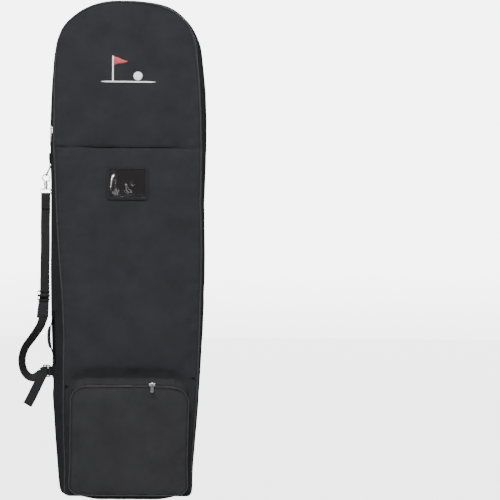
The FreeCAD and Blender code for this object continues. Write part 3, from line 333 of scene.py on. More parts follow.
CAD_MATERIALS = (
    (BOARD, "base_board"),
    (PIPING, "back_piping lower_front_piping hood_piping pocket_piping id_frame"),
    (TAPE, "body_zip_tape hood_zip_tape pocket_upper_tape pocket_lower_tape"),
    (COIL, "body_zip_coil hood_zip_coil pocket_upper_coil pocket_lower_coil"),
    (HOUSING, "left_wheel_housing right_wheel_housing ladder_lock"),
    (HUB, "left_hub right_hub left_bush right_bush"),
    (TREAD, "left_tyre right_tyre"),
    (FOOT, "rear_feet"),
    (WEBBING, "ring_tab anchor_loop anchor_patch handle_patches side_handle shoulder_strap"),
    (POCKET_CLOTH_PAINTED_LIGHT, "pocket_bellows pocket_face"),
    (LINING, "hood_pad crown_pad"),
    (BACKING, "id_backing"),
    (FILM, "id_window"),
    (WHITE_THREAD, "emblem"),
    (ZINC, "main_slider main_pull pocket_slider pocket_pull "
     "d_ring snap_hook swivel_eye strap_adjuster housing_rivets"),
    (STEEL, "hook_gate left_axle right_axle backing_plates foot_screws foot_washers"),
)


def dress_cad_nodes():
    for material, names in CAD_MATERIALS:
        for name in names.split():
            mesh = NODES[name].data
            mesh.materials.clear()
            mesh.materials.append(material)


# ---- the case's outline ----
def half_width(z, inset=0.0):
    return SIDE_CX + math.sqrt((SIDE_R - inset) ** 2 - (z - WIDEST_Z) ** 2)


def barrel_inset(y):
    """How far the sides come in towards the front and back panels."""
    t = y / HALF_DEPTH
    return (FRONT_INSET + BACK_INSET) / 2 * t * t - (FRONT_INSET - BACK_INSET) / 2 * t


WIDTH_AT = (0.0, 0.10, 0.25, 0.40, 0.50, 0.62, 0.72, 0.80, 0.88, 0.96, 1.03, 1.10, 1.16, 1.22, 1.30)
RIGHT_OUT = (
    0.0, 0.0, -0.0020, -0.0035, -0.0040, -0.0035, -0.001,
    0.0025, 0.0070, 0.0090, 0.0085, 0.0050, 0.002, 0.004, 0.006
)
LEFT_OUT = (0.0, 0.0, 0.0020, 0.0, 0.0, 0.0, 0.0, 0.0010, 0.0048, 0.0056, 0.0056, 0.0040, 0.0, -0.002, -0.006)

PANEL_HALF = 0.16  # half the panels' width, roughly: the sag is in full from here outwards
FRONT_AT = (0.01, 0.16, 0.245, 0.33, 0.415, 0.50, 0.62, 0.76, 0.90, 1.03, 1.15, 1.26)
FRONT_LEFT = (-0.0130, -0.0040, 0.0025, 0.0066, 0.0105, 0.0100, 0.0060, 0.0020, 0.0, 0.0, 0.0, 0.0)
FRONT_RIGHT = (0.0, 0.0, 0.0, 0.0, 0.0, 0.0, 0.0, -0.0010, -0.0030, -0.0050, -0.0050, -0.0030)


def settle(p):
    """Where a point of the case ends up once the cloth has sagged out of true.

    The filled upper half bulges, the front leans to one side lower down, the arch has fuller shoulders and
    a flatter apex, and the front droops at both ends of the pocket's top.
    """
    x, y, z = p
    out = float(np.interp(z, WIDTH_AT, RIGHT_OUT if x > 0 else LEFT_OUT))
    x += math.copysign(out * min(1.0, (x / PANEL_HALF) ** 2), x)
    k = float(smooth_step(-y / HALF_DEPTH))
    lean = 0.0120 - 0.0135 * z
    drawn = 0.0045 * float(smooth_step(z / 0.10) * (1 - smooth_step((z - 0.45) / 0.35)))
    drawn -= 0.0030 * float(smooth_step((z - 0.95) / 0.15))
    x += k * (lean - drawn * max(-1.0, min(1.0, x / PANEL_HALF)))
    front = float(np.interp(z, FRONT_AT, FRONT_RIGHT if x > 0 else FRONT_LEFT))
    x += k * front * min(1.0, (x / PANEL_HALF) ** 2)
    high = float(smooth_step((z - 1.13) / 0.06))
    side = abs(x) / 0.115
    z += high * (0.0065 if x > 0 else 0.0030) * math.exp(-(((side - 1.0) / 0.42) ** 2))
    z -= high * 0.0040 * math.exp(-((x / 0.055) ** 2))
    if y < FRONT_Y + 0.001 and 0.20 < z < 0.36:
        ends = (x / 0.150) ** 4 * (0.009 if x > 0 else 0.006)
        z -= ends * float(smooth_step((z - 0.20) / 0.08) * (1 - smooth_step((z - 0.32) / 0.04)))
    if z > 0.6 and y < 0:
        z += 0.0012 * k * noise(Vector((x * 11, 5.0, 3.0))) * (1 - min(1.0, abs(z - SEAM_Z) / 0.2))
    return Vector((x, y, z))


LOW_ROWS, HIGH_ROWS, SHOULDER_ROWS, TOP_ROWS = 92, 26, 9, 18
SIDE_TOP_Z = 1.122
SEAM_STEPS = (0.0100, 0.0060, 0.0028)  # closer rows beside the cross seam


def make_stations():
    """Points along the right half of the outline, from the foot to the apex, as (kind, value) pairs."""
    near, coarse = len(SEAM_STEPS), SEAM_STEPS[0] + 0.0045
    low_top, high_low = SEAM_Z - coarse, SEAM_Z + coarse
    count = LOW_ROWS - near - 1
    low = [("side", BASE_Z + (low_top - BASE_Z) * k / count) for k in range(count + 1)]
    low += [("side", SEAM_Z - step) for step in SEAM_STEPS] + [("side", SEAM_Z)]
    high = [("side", SEAM_Z + step) for step in reversed(SEAM_STEPS)]
    count = HIGH_ROWS - near - 1
    high += [("side", high_low + (SIDE_TOP_Z - high_low) * k / count) for k in range(count + 1)]
    shoulder = [("shoulder", k / SHOULDER_ROWS) for k in range(SHOULDER_ROWS + 1)]
    top = [("top", k / TOP_ROWS) for k in range(1, TOP_ROWS + 1)]
    return low + high + shoulder + top


STATIONS = make_stations()
APEX = len(STATIONS) - 1
LAST = 2 * APEX
SEAM_ROW = LOW_ROWS
CORNER_ROW = LOW_ROWS + HIGH_ROWS + 1 + SHOULDER_ROWS // 2
COLUMNS = LAST - 2 * CORNER_ROW


def station_point(s, inset):
    """The outline's point at station s, counted from the left foot over the apex to the right foot."""
    kind, value = STATIONS[s if s <= APEX else LAST - s]
    if kind == "side":
        x, z = half_width(value, inset), value
    elif kind == "shoulder":
        angle = A_SIDE + value * (A_TOP - A_SIDE)
        x = SHOULDER_CX + (SHOULDER_R - inset) * math.cos(angle)
        z = SHOULDER_Z + (SHOULDER_R - inset) * math.sin(angle)
    else:
        angle = A_TOP + value * (math.pi / 2 - A_TOP)
        x, z = (TOP_R - inset) * math.cos(angle), TOP_CZ + (TOP_R - inset) * math.sin(angle)
    return (-x if s <= APEX else x), z


def panel_grid(inset, first_row=0):
    """Rows of (x, z) that fill the outline: level rows up to the seam, then rows that bend into the arch."""
    left = [np.array(station_point(v, inset)) for v in range(CORNER_ROW + 1)]
    right = [np.array([-p[0], p[1]]) for p in left]
    arch = [np.array(station_point(CORNER_ROW + u, inset)) for u in range(COLUMNS + 1)]
    rows = []
    for v in range(first_row, CORNER_ROW + 1):
        t = max(0.0, (v - SEAM_ROW) / (CORNER_ROW - SEAM_ROW))
        row = []
        for u in range(COLUMNS + 1):
            k = u / COLUMNS
            point = (1 - k) * left[v] + k * right[v]
            if t > 0:
                low = (1 - k) * left[SEAM_ROW] + k * right[SEAM_ROW]
                bend = (1 - t) * low + t * arch[u]
                corners = (1 - t) * low + t * ((1 - k) * arch[0] + k * arch[-1])
                point = point + bend - corners
            row.append(point)
        rows.append(row)
    return rows


# ---- the cloth shell as one mesh ----
def depth_rows():
    """Depths of the gusset's rows, with rows on both edges of the zipper's channel."""
    front = [FRONT_Y, -0.1335, -0.126, -0.119, -0.1125, ZIP_Y - CLOTH_EDGE, ZIP_Y, ZIP_Y + CLOTH_EDGE]
    count = 26
    back = [front[-1] + (BACK_Y - front[-1]) * k / count for k in range(1, count + 1)]
    return front + back


DEPTHS = depth_rows()
LIP_ROW, CHANNEL_ROW = 5, 7


class Shell:
    """Front, gusset, back and base as one welded grid, with tags that say which panel each face is on."""

    def __init__(self):
        self.verts, self.faces, self.tags = [], [], []
        self.front = self.add_panel(FRONT_INSET, FRONT_Y)
        self.back = self.add_panel(BACK_INSET, BACK_Y)
        self.gusset = self.add_gusset()
        self.base = self.add_base()
        self.add_faces()

    def add(self, x, y, z):
        self.verts.append((x, y, z))
        return len(self.verts) - 1

    def add_panel(self, inset, y):
        return [[self.add(p[0], y, p[1]) for p in row] for row in panel_grid(inset)]

    def edge(self, panel, s):
        """The panel's vertex at outline station s."""
        if s <= CORNER_ROW:
            return panel[s][0]
        if s <= LAST - CORNER_ROW:
            return panel[CORNER_ROW][s - CORNER_ROW]
        return panel[LAST - s][COLUMNS]

    def add_gusset(self):
        rows = [[self.edge(self.front, s) for s in range(LAST + 1)]]
        for y in DEPTHS[1:-1]:
            inset = barrel_inset(y)
            rows.append([self.add(p[0], y, p[1]) for p in (station_point(s, inset) for s in range(LAST + 1))])
        rows.append([self.edge(self.back, s) for s in range(LAST + 1)])
        return rows

    def add_base(self):
        rows = [self.front[0]]
        for j in range(1, len(DEPTHS) - 1):
            left, right = self.gusset[j][0], self.gusset[j][LAST]
            half = self.verts[right][0]
            row = [left]
            for u in range(1, COLUMNS):
                x = -half + 2 * half * u / COLUMNS
                row.append(self.add(x, DEPTHS[j], base_height(x, DEPTHS[j])))
            rows.append(row + [right])
        rows.append(self.back[0])
        return rows

    def add_quads(self, rows, tag, flip):
        for j in range(len(rows) - 1):
            for i in range(len(rows[0]) - 1):
                quad = (rows[j][i], rows[j][i + 1], rows[j + 1][i + 1], rows[j + 1][i])
                self.faces.append(quad[::-1] if flip else quad)
                self.tags.append((tag, j, i))

    def add_faces(self):
        self.add_quads(self.front, "front", False)
        self.add_quads(self.back, "back", True)
        self.add_quads(self.gusset, "gusset", False)
        self.add_quads(self.base, "base", True)


DISH_X, DISH_FRONT, DISH_BACK = (0.150, 0.072), (-0.137, -0.104), (0.088, 0.044)


def base_height(x, y):
    """The dished base: level with the walls' edge outside, down to the floor in the middle."""
    across = (DISH_X[0] - abs(x)) / (DISH_X[0] - DISH_X[1])
    front = (y - DISH_FRONT[0]) / (DISH_FRONT[1] - DISH_FRONT[0])
    back = (DISH_BACK[0] - y) / (DISH_BACK[0] - DISH_BACK[1])
    low = float(np.prod([smooth_step(t) for t in (across, front, back)]))
    return BASE_Z * (1 - low) + 0.0004 * low


# ---- cloth simulation ----
SIM_FRAMES = 18


def inflate(obj, pins, pressure, slack, bending):
    """Lets the cloth swell between its pinned seams, and returns the new vertex positions."""
    group = obj.vertex_groups.new(name="seams")
    group.add([int(i) for i in pins], 1.0, "REPLACE")
    cloth = obj.modifiers.new("cloth", "CLOTH")
    s = cloth.settings
    s.quality = 5
    s.mass = 0.25
    s.tension_stiffness = s.compression_stiffness = 20
    s.shear_stiffness = 12
    s.bending_stiffness = bending
    s.tension_damping = s.compression_damping = s.shear_damping = 12
    s.bending_damping = 2
    s.air_damping = 2.0
    s.vertex_group_mass = "seams"
    s.use_pressure = True
    s.uniform_pressure_force = pressure
    s.shrink_min = -slack
    s.effector_weights.gravity = 0
    scene = bpy.context.scene
    cloth.point_cache.frame_start, cloth.point_cache.frame_end = 1, SIM_FRAMES
    for number in range(1, SIM_FRAMES + 1):
        scene.frame_set(number)
    depsgraph = bpy.context.evaluated_depsgraph_get()
    made = obj.evaluated_get(depsgraph).to_mesh()
    moved = np.array([v.co for v in made.vertices])
    obj.evaluated_get(depsgraph).to_mesh_clear()
    obj.modifiers.clear()
    obj.vertex_groups.clear()
    scene.frame_set(1)
    return moved


POCKET_SEWN_LOW, POCKET_SEWN_TOP, POCKET_SEWN_HALF = 0.02, 0.309, 0.150


def shell_pins(shell):
    """Vertices held by a seam: panel edges, the cross seam, the zipper's edges, the base and the front where
    the pocket is sewn on.
    """
    pins = set(shell.gusset[0]) | set(shell.gusset[-1])
    pins |= set(shell.front[SEAM_ROW])
    for row in shell.base:
        pins |= set(row)
    for row in shell.front:
        for index in row:
            x, y, z = shell.verts[index]
            if POCKET_SEWN_LOW < z < POCKET_SEWN_TOP and abs(x) < POCKET_SEWN_HALF:
                pins.add(index)
    high = range(SEAM_ROW, LAST - SEAM_ROW + 1)
    for j in range(LIP_ROW, CHANNEL_ROW + 1):
        pins |= {shell.gusset[j][s] for s in high}
    for j in range(CHANNEL_ROW + 1):
        pins |= {shell.gusset[j][SEAM_ROW], shell.gusset[j][LAST - SEAM_ROW]}
    return pins


FRONT_SWELL, POCKET_BACK_SWELL, SIDE_SWELL, HELD_SWELL, BACK_SWELL = 0.0150, 0.0015, 0.0045, 0.0012, 0.0060
SWELL_PRESSURE, SWELL_SLACK, SWELL_BENDING = 3.0, 0.006, 6.0


def swell_limit(point):
    """How far cloth may move: little behind the pocket, and on the left wall where the hardware lies close."""
    x, y, z = point
    if y < FRONT_Y + 0.001:
        above_pocket = float(smooth_step((z - 0.302) / 0.046))
        return POCKET_BACK_SWELL + (FRONT_SWELL - POCKET_BACK_SWELL) * above_pocket
    if y > BACK_Y - 0.001:
        low = float(smooth_step((z - 0.10) / 0.15))
        return HELD_SWELL + (BACK_SWELL - HELD_SWELL) * low
    if x < 0 and -0.08 < y < 0.06 and 0.27 < z < 0.89:
        return HELD_SWELL
    return SIDE_SWELL


def held_back(rest, moved, limits):
    """Caps each vertex's travel smoothly at its limit."""
    step = moved - rest
    size = np.linalg.norm(step, axis=1)
    return rest + step / (1 + size / limits)[:, None]


def build_shell():
    shell = Shell()
    obj = mesh_object("shell_cloth", shell.verts, shell.faces)
    rest = np.array(shell.verts)
    swell = inflate(obj, shell_pins(shell), SWELL_PRESSURE, SWELL_SLACK, SWELL_BENDING)
    limits = np.array([swell_limit(p) for p in rest])
    shell.moved = held_back(rest, swell, limits)
    bpy.data.objects.remove(obj)
    return shell


def cut_piece(shell, name, wanted):
    """The faces that wanted(tag, j, i, centre) picks, as an object of their own."""
    faces, used, verts = [], {}, []
    for face, (tag, j, i) in zip(shell.faces, shell.tags):
        centre = shell.moved[list(face)].mean(axis=0)
        if not wanted(tag, j, i, centre):
            continue
        row = []
        for index in face:
            if index not in used:
                used[index] = len(verts)
                verts.append(shell.moved[index])
            row.append(used[index])
        faces.append(row)
    return mesh_object(name, verts, faces)


def above_seam(i):
    return SEAM_ROW <= i < LAST - SEAM_ROW


def on_hood(tag, j, i, centre):
    if tag == "front":
        return j >= SEAM_ROW
    return tag == "gusset" and j < LIP_ROW and above_seam(i)


WHEEL_X, WELL_HALF, WELL_TOP, WELL_FRONT = 0.1195, 0.020, 0.070, 0.090


def on_bag(tag, j, i, centre):
    """Everything but the hood, the zipper's channel and the openings for the wheels."""
    if on_hood(tag, j, i, centre):
        return False
    if tag == "gusset" and j < CHANNEL_ROW and above_seam(i):
        return False
    beside = abs(abs(centre[0]) - WHEEL_X)
    if tag == "back" and beside < WELL_HALF and centre[2] < WELL_TOP:
        return False
    return not (tag == "base" and beside < WELL_HALF and centre[1] > WELL_FRONT)


def fade(distance, reach):
    """1 at a seam, falling smoothly to 0 at reach."""
    return float(1 - smooth_step(abs(distance) / reach))


CREASES = (  # soft folds: middle (x, z), direction in degrees, half length, half width, height, on the back
    (-0.120, 1.190, 42.0, 0.055, 0.012, -0.0022, True),
    (0.125, 1.180, -50.0, 0.060, 0.012, -0.0024, True),
    (0.095, 0.830, 70.0, 0.050, 0.010, -0.0012, True),
    (0.110, 0.650, 62.0, 0.070, 0.014, -0.0014, True),
    (0.060, 0.600, -40.0, 0.050, 0.012, 0.0009, True),
    (-0.130, 0.150, 35.0, 0.050, 0.014, -0.0016, True),
    (0.135, 0.150, -38.0, 0.055, 0.014, -0.0018, True),
    (-0.150, 0.850, 72.0, 0.060, 0.014, 0.0020, False),
    (-0.125, 0.830, 55.0, 0.050, 0.010, -0.0014, False),
    (0.150, 1.000, 84.0, 0.110, 0.013, -0.0016, False),
    (-0.060, 0.330, 4.0, 0.090, 0.012, -0.0022, False),
    (0.075, 0.326, -5.0, 0.080, 0.011, -0.0020, False),
    (0.130, 0.480, 80.0, 0.120, 0.016, -0.0010, False),
    (-0.130, 0.560, 95.0, 0.140, 0.016, 0.0010, False),
)


def crease(x, z, back):
    out = 0.0
    for cx, cz, degrees, length, width, height, on_back in CREASES:
        if on_back != back:
            continue
        a = math.radians(degrees)
        dx, dz = x - cx, z - cz
        along = dx * math.cos(a) + dz * math.sin(a)
        across = -dx * math.sin(a) + dz * math.cos(a) + 0.25 * along * along / length
        out += height * math.exp(-((along / length) ** 2) - (across / width) ** 2)
    return out


def wrinkle(p):
    """How far the cloth stands out at a point: seam valleys, puckers, folds and a brow over the pocket."""
    x, y, z = p
    out = 0.0010 * noise(Vector((x * 9, y * 9, z * 5))) + 0.0004 * noise(Vector((x * 30, y * 30, z * 20)))
    across = noise(Vector((x * 60, 3.0, z * 14)))
    down = noise(Vector((x * 14 + 5, y * 20, z * 62)))
    ladder = noise(Vector((x * 20, y * 20, z * 160)))
    if y < FRONT_Y + 0.008:
        seam = z - SEAM_Z
        out -= 0.0021 * fade(seam, 0.008)
        brow = smooth_step((z - 0.301) / 0.038) * (1 - smooth_step((z - 0.350) / 0.24))
        out += 0.0120 * float(brow) * (1 - min(1.0, abs(x) / 0.158) ** 4)
        out += 0.0013 * across * fade(seam, 0.055) * (1 - fade(seam, 0.006))
        out += 0.0016 * across * fade(z - 0.312, 0.050)
    edge = half_width(min(z, SHOULDER_Z), barrel_inset(y)) - abs(x)
    if abs(y) > HALF_DEPTH - 0.014:
        out += crease(x, z, y > 0)
        puckers = 0.0013 * down + 0.0010 * ladder * fade(edge, 0.024)
        out += puckers * fade(edge, 0.060) * (1 - fade(edge, 0.005))
    if abs(y) < HALF_DEPTH - 0.002:
        near = HALF_DEPTH - abs(y)
        puckers = 0.0011 * down + 0.0007 * ladder * fade(near, 0.02)
        out += puckers * fade(near, 0.055) * (1 - fade(near, 0.006))
    return out


def ripple(obj):
    """Moves the mesh along its normals by wrinkle()."""
    mesh = obj.data
    normals = [v.normal.copy() for v in mesh.vertices]
    for vertex, normal in zip(mesh.vertices, normals):
        vertex.co += normal * wrinkle(vertex.co)
    mesh.update()


def make_shells(shell):
    bag = cut_piece(shell, "bag_shell", on_bag)
    hood = cut_piece(shell, "hood_shell", on_hood)
    walls = (
        "back_panel", "left_side_panel", "right_side_panel", "crown_panel", "lower_front_panel", "base_panel",
    )
    sets = ((bag, "bag", "body_cloth", walls), (hood, "hood", "front_cloth", ("hood_panel", "hood_lip")))
    for obj, body, slot, nodes in sets:
        with_modifier(obj, "SUBSURF", levels=1, render_levels=1, boundary_smooth="PRESERVE_CORNERS")
        apply_modifiers(obj)
        ripple(obj)
        with_modifier(obj, "SOLIDIFY", thickness=CLOTH_T, offset=-1.0, use_rim=True, material_offset=1)
        apply_modifiers(obj)
        inner = [polygon.material_index for polygon in obj.data.polygons]
        finish_mesh(obj, CLOTH, body, slot, *nodes)
        obj.data.materials.append(LINING)
        obj.data.polygons.foreach_set("material_index", inner)
    return bag, hood


# ---- swept shapes ----
def ring_profile(radius, sides=12, flat=1.0):
    """A round or flattened section as (across, out) pairs."""
    angles = [2 * math.pi * k / sides for k in range(sides)]
    return [(radius * math.cos(a), radius * flat * math.sin(a)) for a in angles]


def strip_profile(width, thickness, count=10):
    """A flat strip with rounded edges as (across, out) pairs."""
    w, t = width / 2 - thickness / 2, thickness / 2
    top = [(w - 2 * w * k / count, t) for k in range(count + 1)]
    left = [(-w - t * math.sin(a), t * math.cos(a)) for a in (math.pi / 4, math.pi / 2, 3 * math.pi / 4)]
    bottom = [(-x, -y) for x, y in top]
    right = [(-x, -y) for x, y in left]
    return top + left + bottom + right


def sweep(path, sides, profile, closed=False, scales=None):
    """Vertices and faces of a section carried along a path; sides gives its across direction at each point."""
    path, sides = np.array(path, float), np.array(sides, float)
    if sides.ndim == 1:
        sides = np.tile(sides, (len(path), 1))
    if closed:
        tangents = np.roll(path, -1, axis=0) - np.roll(path, 1, axis=0)
    else:
        tangents = np.gradient(path, axis=0)
    tangents /= np.linalg.norm(tangents, axis=1)[:, None]
    sides = sides - tangents * (sides * tangents).sum(axis=1)[:, None]
    sides /= np.linalg.norm(sides, axis=1)[:, None]
    outs = np.cross(sides, tangents)
    scales = np.ones(len(path)) if scales is None else scales
    verts = [
        path[i] + scales[i] * (sides[i] * across + outs[i] * out)
        for i in range(len(path)) for across, out in profile
    ]
    n, count = len(profile), len(path)
    faces = []
    for i in range(count if closed else count - 1):
        j = (i + 1) % count
        faces += [(i * n + k, i * n + (k + 1) % n, j * n + (k + 1) % n, j * n + k) for k in range(n)]
    if not closed:
        faces += [tuple(range(n))[::-1], tuple(range((count - 1) * n, count * n))]
    return verts, faces


def joined(parts):
    """Several (vertices, faces) as one."""
    verts, faces = [], []
    for some_verts, some_faces in parts:
        base = len(verts)
        verts += list(some_verts)
        faces += [tuple(i + base for i in face) for face in some_faces]
    return verts, faces


def resampled(points, step):
    """Points a step apart along a smooth curve through the given ones."""
    points = [np.array(p, float) for p in points]
    ends = [2 * points[0] - points[1]] + points + [2 * points[-1] - points[-2]]
    fine = []
    for i in range(1, len(ends) - 2):
        p0, p1, p2, p3 = ends[i - 1:i + 3]
        for k in range(12):
            t = k / 12
            square = (2 * p0 - 5 * p1 + 4 * p2 - p3) * t**2
            cube = (3 * p1 - p0 - 3 * p2 + p3) * t**3
            fine.append(0.5 * (2 * p1 + (p2 - p0) * t + square + cube))
    fine.append(ends[-2])
    fine = np.array(fine)
    lengths = np.concatenate([[0], np.cumsum(np.linalg.norm(np.diff(fine, axis=0), axis=1))])
    count = max(2, int(round(lengths[-1] / step)) + 1)
    at = np.linspace(0, lengths[-1], count)
    return np.stack([np.interp(at, lengths, fine[:, k]) for k in range(fine.shape[1])], axis=1)


def even_path(points, step, count=None):
    """Points a step apart, or count of them, along straight runs between the given ones."""
    points = np.array(points, float)
    lengths = np.concatenate([[0], np.cumsum(np.linalg.norm(np.diff(points, axis=0), axis=1))])
    count = count or max(2, int(round(lengths[-1] / step)) + 1)
    at = np.linspace(0, lengths[-1], count)
    return np.stack([np.interp(at, lengths, points[:, k]) for k in range(points.shape[1])], axis=1)


def outline_path(inset, y, z_low, step=0.004):
    """The case's outline at depth y, from z_low on the left over the top to z_low on the right."""
    side_top = WIDEST_Z + (SIDE_R - inset) * math.sin(A_SIDE)
    half = []
    for k in range(160):
        z = z_low + (side_top - z_low) * k / 160
        half.append((half_width(z, inset), y, z))
    for k in range(24):
        a = A_SIDE + (A_TOP - A_SIDE) * k / 24
        reach = SHOULDER_R - inset
        half.append((SHOULDER_CX + reach * math.cos(a), y, SHOULDER_Z + reach * math.sin(a)))
    for k in range(25):
        a = A_TOP + (math.pi / 2 - A_TOP) * k / 24
        half.append(((TOP_R - inset) * math.cos(a), y, TOP_CZ + (TOP_R - inset) * math.sin(a)))
    points = [(-x, y, z) for x, y, z in half[:-1]] + half[::-1]
    return even_path(points, step)


def piece_from(name, parts, material, body, slot, *nodes, settled=True):
    obj = mesh_object(name, *joined(parts))
    return finish_mesh(obj, material, body, slot, *nodes, settled=settled)


def laid_on(name, parts, material, body, slot, *nodes):
    """A piece whose points were found on settled cloth, or that belongs to the strap."""
    return piece_from(name, parts, material, body, slot, *nodes, settled=False)


class Skin:
    """Finds points on finished cloth, to lay trimmings on it."""

    def __init__(self, *objects):
        depsgraph = bpy.context.evaluated_depsgraph_get()
        self.trees = [BVHTree.FromObject(obj, depsgraph) for obj in objects]

    def hit(self, start, direction, lift=0.0):
        """The nearest point along a ray, lifted off the surface towards the ray's start, and its normal."""
        best = None
        for tree in self.trees:
            point, normal, index, distance = tree.ray_cast(Vector(start), Vector(direction))
            if point is not None and (best is None or distance < best[2]):
                best = (point, normal, distance)
        if best is None:
            return Vector(start) + Vector(direction) * 0.1, -Vector(direction)
        point, normal, distance = best
        if normal.dot(Vector(direction)) > 0:
            normal = -normal
        return point + normal * lift, normal

    def front(self, x, z, lift=0.0):
        return self.hit((x, -0.4, z), (0, 1, 0), lift)

    def left(self, y, z, lift=0.0):
        return self.hit((-0.4, y, z), (1, 0, 0), lift)


STITCH_L, STITCH_PITCH, STITCH_R = 0.0029, 0.0038, 0.00042


def stitch_row(points, normals):
    """A row of thread stitches that lie on the cloth, each of which dips in at its ends."""
    points, normals = np.array(points, float), np.array(normals, float)
    lengths = np.concatenate([[0], np.cumsum(np.linalg.norm(np.diff(points, axis=0), axis=1))])
    parts = []
    for k in range(int(lengths[-1] / STITCH_PITCH)):
        at = np.linspace(k * STITCH_PITCH, k * STITCH_PITCH + STITCH_L, 5)
        spots = np.stack([np.interp(at, lengths, points[:, c]) for c in range(3)], axis=1)
        outs = np.stack([np.interp(at, lengths, normals[:, c]) for c in range(3)], axis=1)
        spots = spots + outs * np.array([-0.4, 0.5, 0.8, 0.5, -0.4])[:, None] * STITCH_R
        side = np.cross(outs[0], spots[-1] - spots[0])
        parts.append(sweep(spots, side, ring_profile(STITCH_R, 5), scales=[0.6, 1.0, 1.0, 1.0, 0.6]))
    return parts


def stitched(hits):
    """A row of stitches through (point, normal) pairs."""
    return stitch_row([point for point, normal in hits], [normal for point, normal in hits])


# ---- piping, tape and coil ----
CORD_R = 0.0024
CORD_JOIN = 0.009  # the cord's blended part reaches this far each side of the seam
OUTWARD_Y = (0.0, -1.0, 0.0)


def cord_parts(points, radius=CORD_R):
    """A covered cord that sits on the seam."""
    return [sweep(points, OUTWARD_Y, ring_profile(radius, 14))]


def make_cords():
    y = FRONT_Y
    arch = outline_path(FRONT_INSET, y, SEAM_Z + CORD_JOIN)
    piece_from("hood_cord", cord_parts(arch), PIPING, "hood", "piping", "hood_piping")

    corner, foot = 0.010, half_width(BASE_Z, FRONT_INSET)
    sides = []
    for sign in (-1, 1):
        z_values = np.linspace(SEAM_Z - CORD_JOIN, BASE_Z + corner, 180)
        run = [(sign * half_width(z, FRONT_INSET), y, z) for z in z_values]
        bend = [
            (sign * (foot - corner * (1 - math.cos(a))), y, BASE_Z + corner - corner * math.sin(a))
            for a in np.linspace(0.2, math.pi / 2, 7)
        ]
        sides.append(run + bend)
    loop = sides[0] + sides[1][::-1]
    piece_from("front_cord", cord_parts(even_path(loop, 0.004)), PIPING, "bag", "piping", "lower_front_piping")

    back = outline_path(BACK_INSET, BACK_Y, BASE_Z + 0.004)
    piece_from("back_cord", cord_parts(back), PIPING, "bag", "piping", "back_piping")

    for sign, name in ((-1, "left"), (1, "right")):
        z_values = np.linspace(SEAM_Z - CORD_JOIN - 0.001, SEAM_Z + CORD_JOIN + 0.001, 15)
        run = [(sign * half_width(z, FRONT_INSET), y, z) for z in z_values]
        bit = mesh_object(name + "_seam_cord", *joined(cord_parts(run, CORD_R * 0.995)))
        finish_mesh(bit, PIPING, None, "piping")
        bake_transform(bit)


COIL_STEP, COIL_R = 0.00042, 0.00115
COIL_BEAT = (1.0, 1.0, 0.66)  # the coil's turns swell and dip along its length


def coil_part(points, side, radius):
    points = even_path(points, COIL_STEP)
    scales = [COIL_BEAT[i % len(COIL_BEAT)] for i in range(len(points))]
    return sweep(points, side, ring_profile(radius, 8, 0.85), scales=scales)


def make_main_zip():
    low = SEAM_Z + 0.002
    for name, body, sign in (("body", "bag", 1), ("hood", "hood", -1)):
        inset = barrel_inset(ZIP_Y)
        coil = outline_path(inset + 0.0021, ZIP_Y + sign * 0.0016, low, 0.002)
        teeth = [coil_part(coil, OUTWARD_Y, COIL_R)]
        piece_from(name + "_coil", teeth, COIL, body, "zip_coil", name + "_zip_coil")
        tape = outline_path(inset + 0.0033, ZIP_Y + sign * 0.0068, low)
        strip = [sweep(tape, (0, 1, 0), strip_profile(0.0122, 0.0007, 8))]
        piece_from(name + "_tape", strip, TAPE, body, "zip_tape", name + "_zip_tape")


def zip_stitches(skin):
    """Topstitching along both cloth edges of the main zipper."""
    for body, y in (("bag", ZIP_Y + CLOTH_EDGE + 0.0022), ("hood", ZIP_Y - CLOTH_EDGE - 0.0022)):
        path = outline_path(barrel_inset(y), y, SEAM_Z + 0.006, 0.003)
        centre = np.array([0.0, y, 0.9])
        hits = []
        for p in path:
            inward = centre - p if p[2] > SHOULDER_Z else np.array([-p[0], 0, 0])
            inward = inward / np.linalg.norm(inward)
            hits.append(skin.hit(p - inward * 0.03, inward, 0.0002))
        laid_on(body + "_zip_stitches", stitched(hits), DARK_THREAD, body, "thread")


# ---- emblem ----
EMBLEM_Z = 1.076
STRAND_PITCH, STRAND_R = 0.00062, 0.00040


def strand(skin, start, end, height):
    """One satin stitch that arches over the cloth between two points of the front, given by x and z."""
    steps = 7
    path = []
    for k in range(steps):
        t = k / (steps - 1)
        x, z = start[0] + t * (end[0] - start[0]), start[1] + t * (end[1] - start[1])
        point, normal = skin.front(x, z, 0.0)
        path.append(np.array(point + normal * (height * math.sin(math.pi * t) ** 0.5 - 0.0002)))
    return sweep(path, OUTWARD_Y, ring_profile(STRAND_R, 5))


def satin(skin, rows, height=0.0009):
    return [strand(skin, start, end, height) for start, end in rows if math.dist(start, end) > 0.0006]


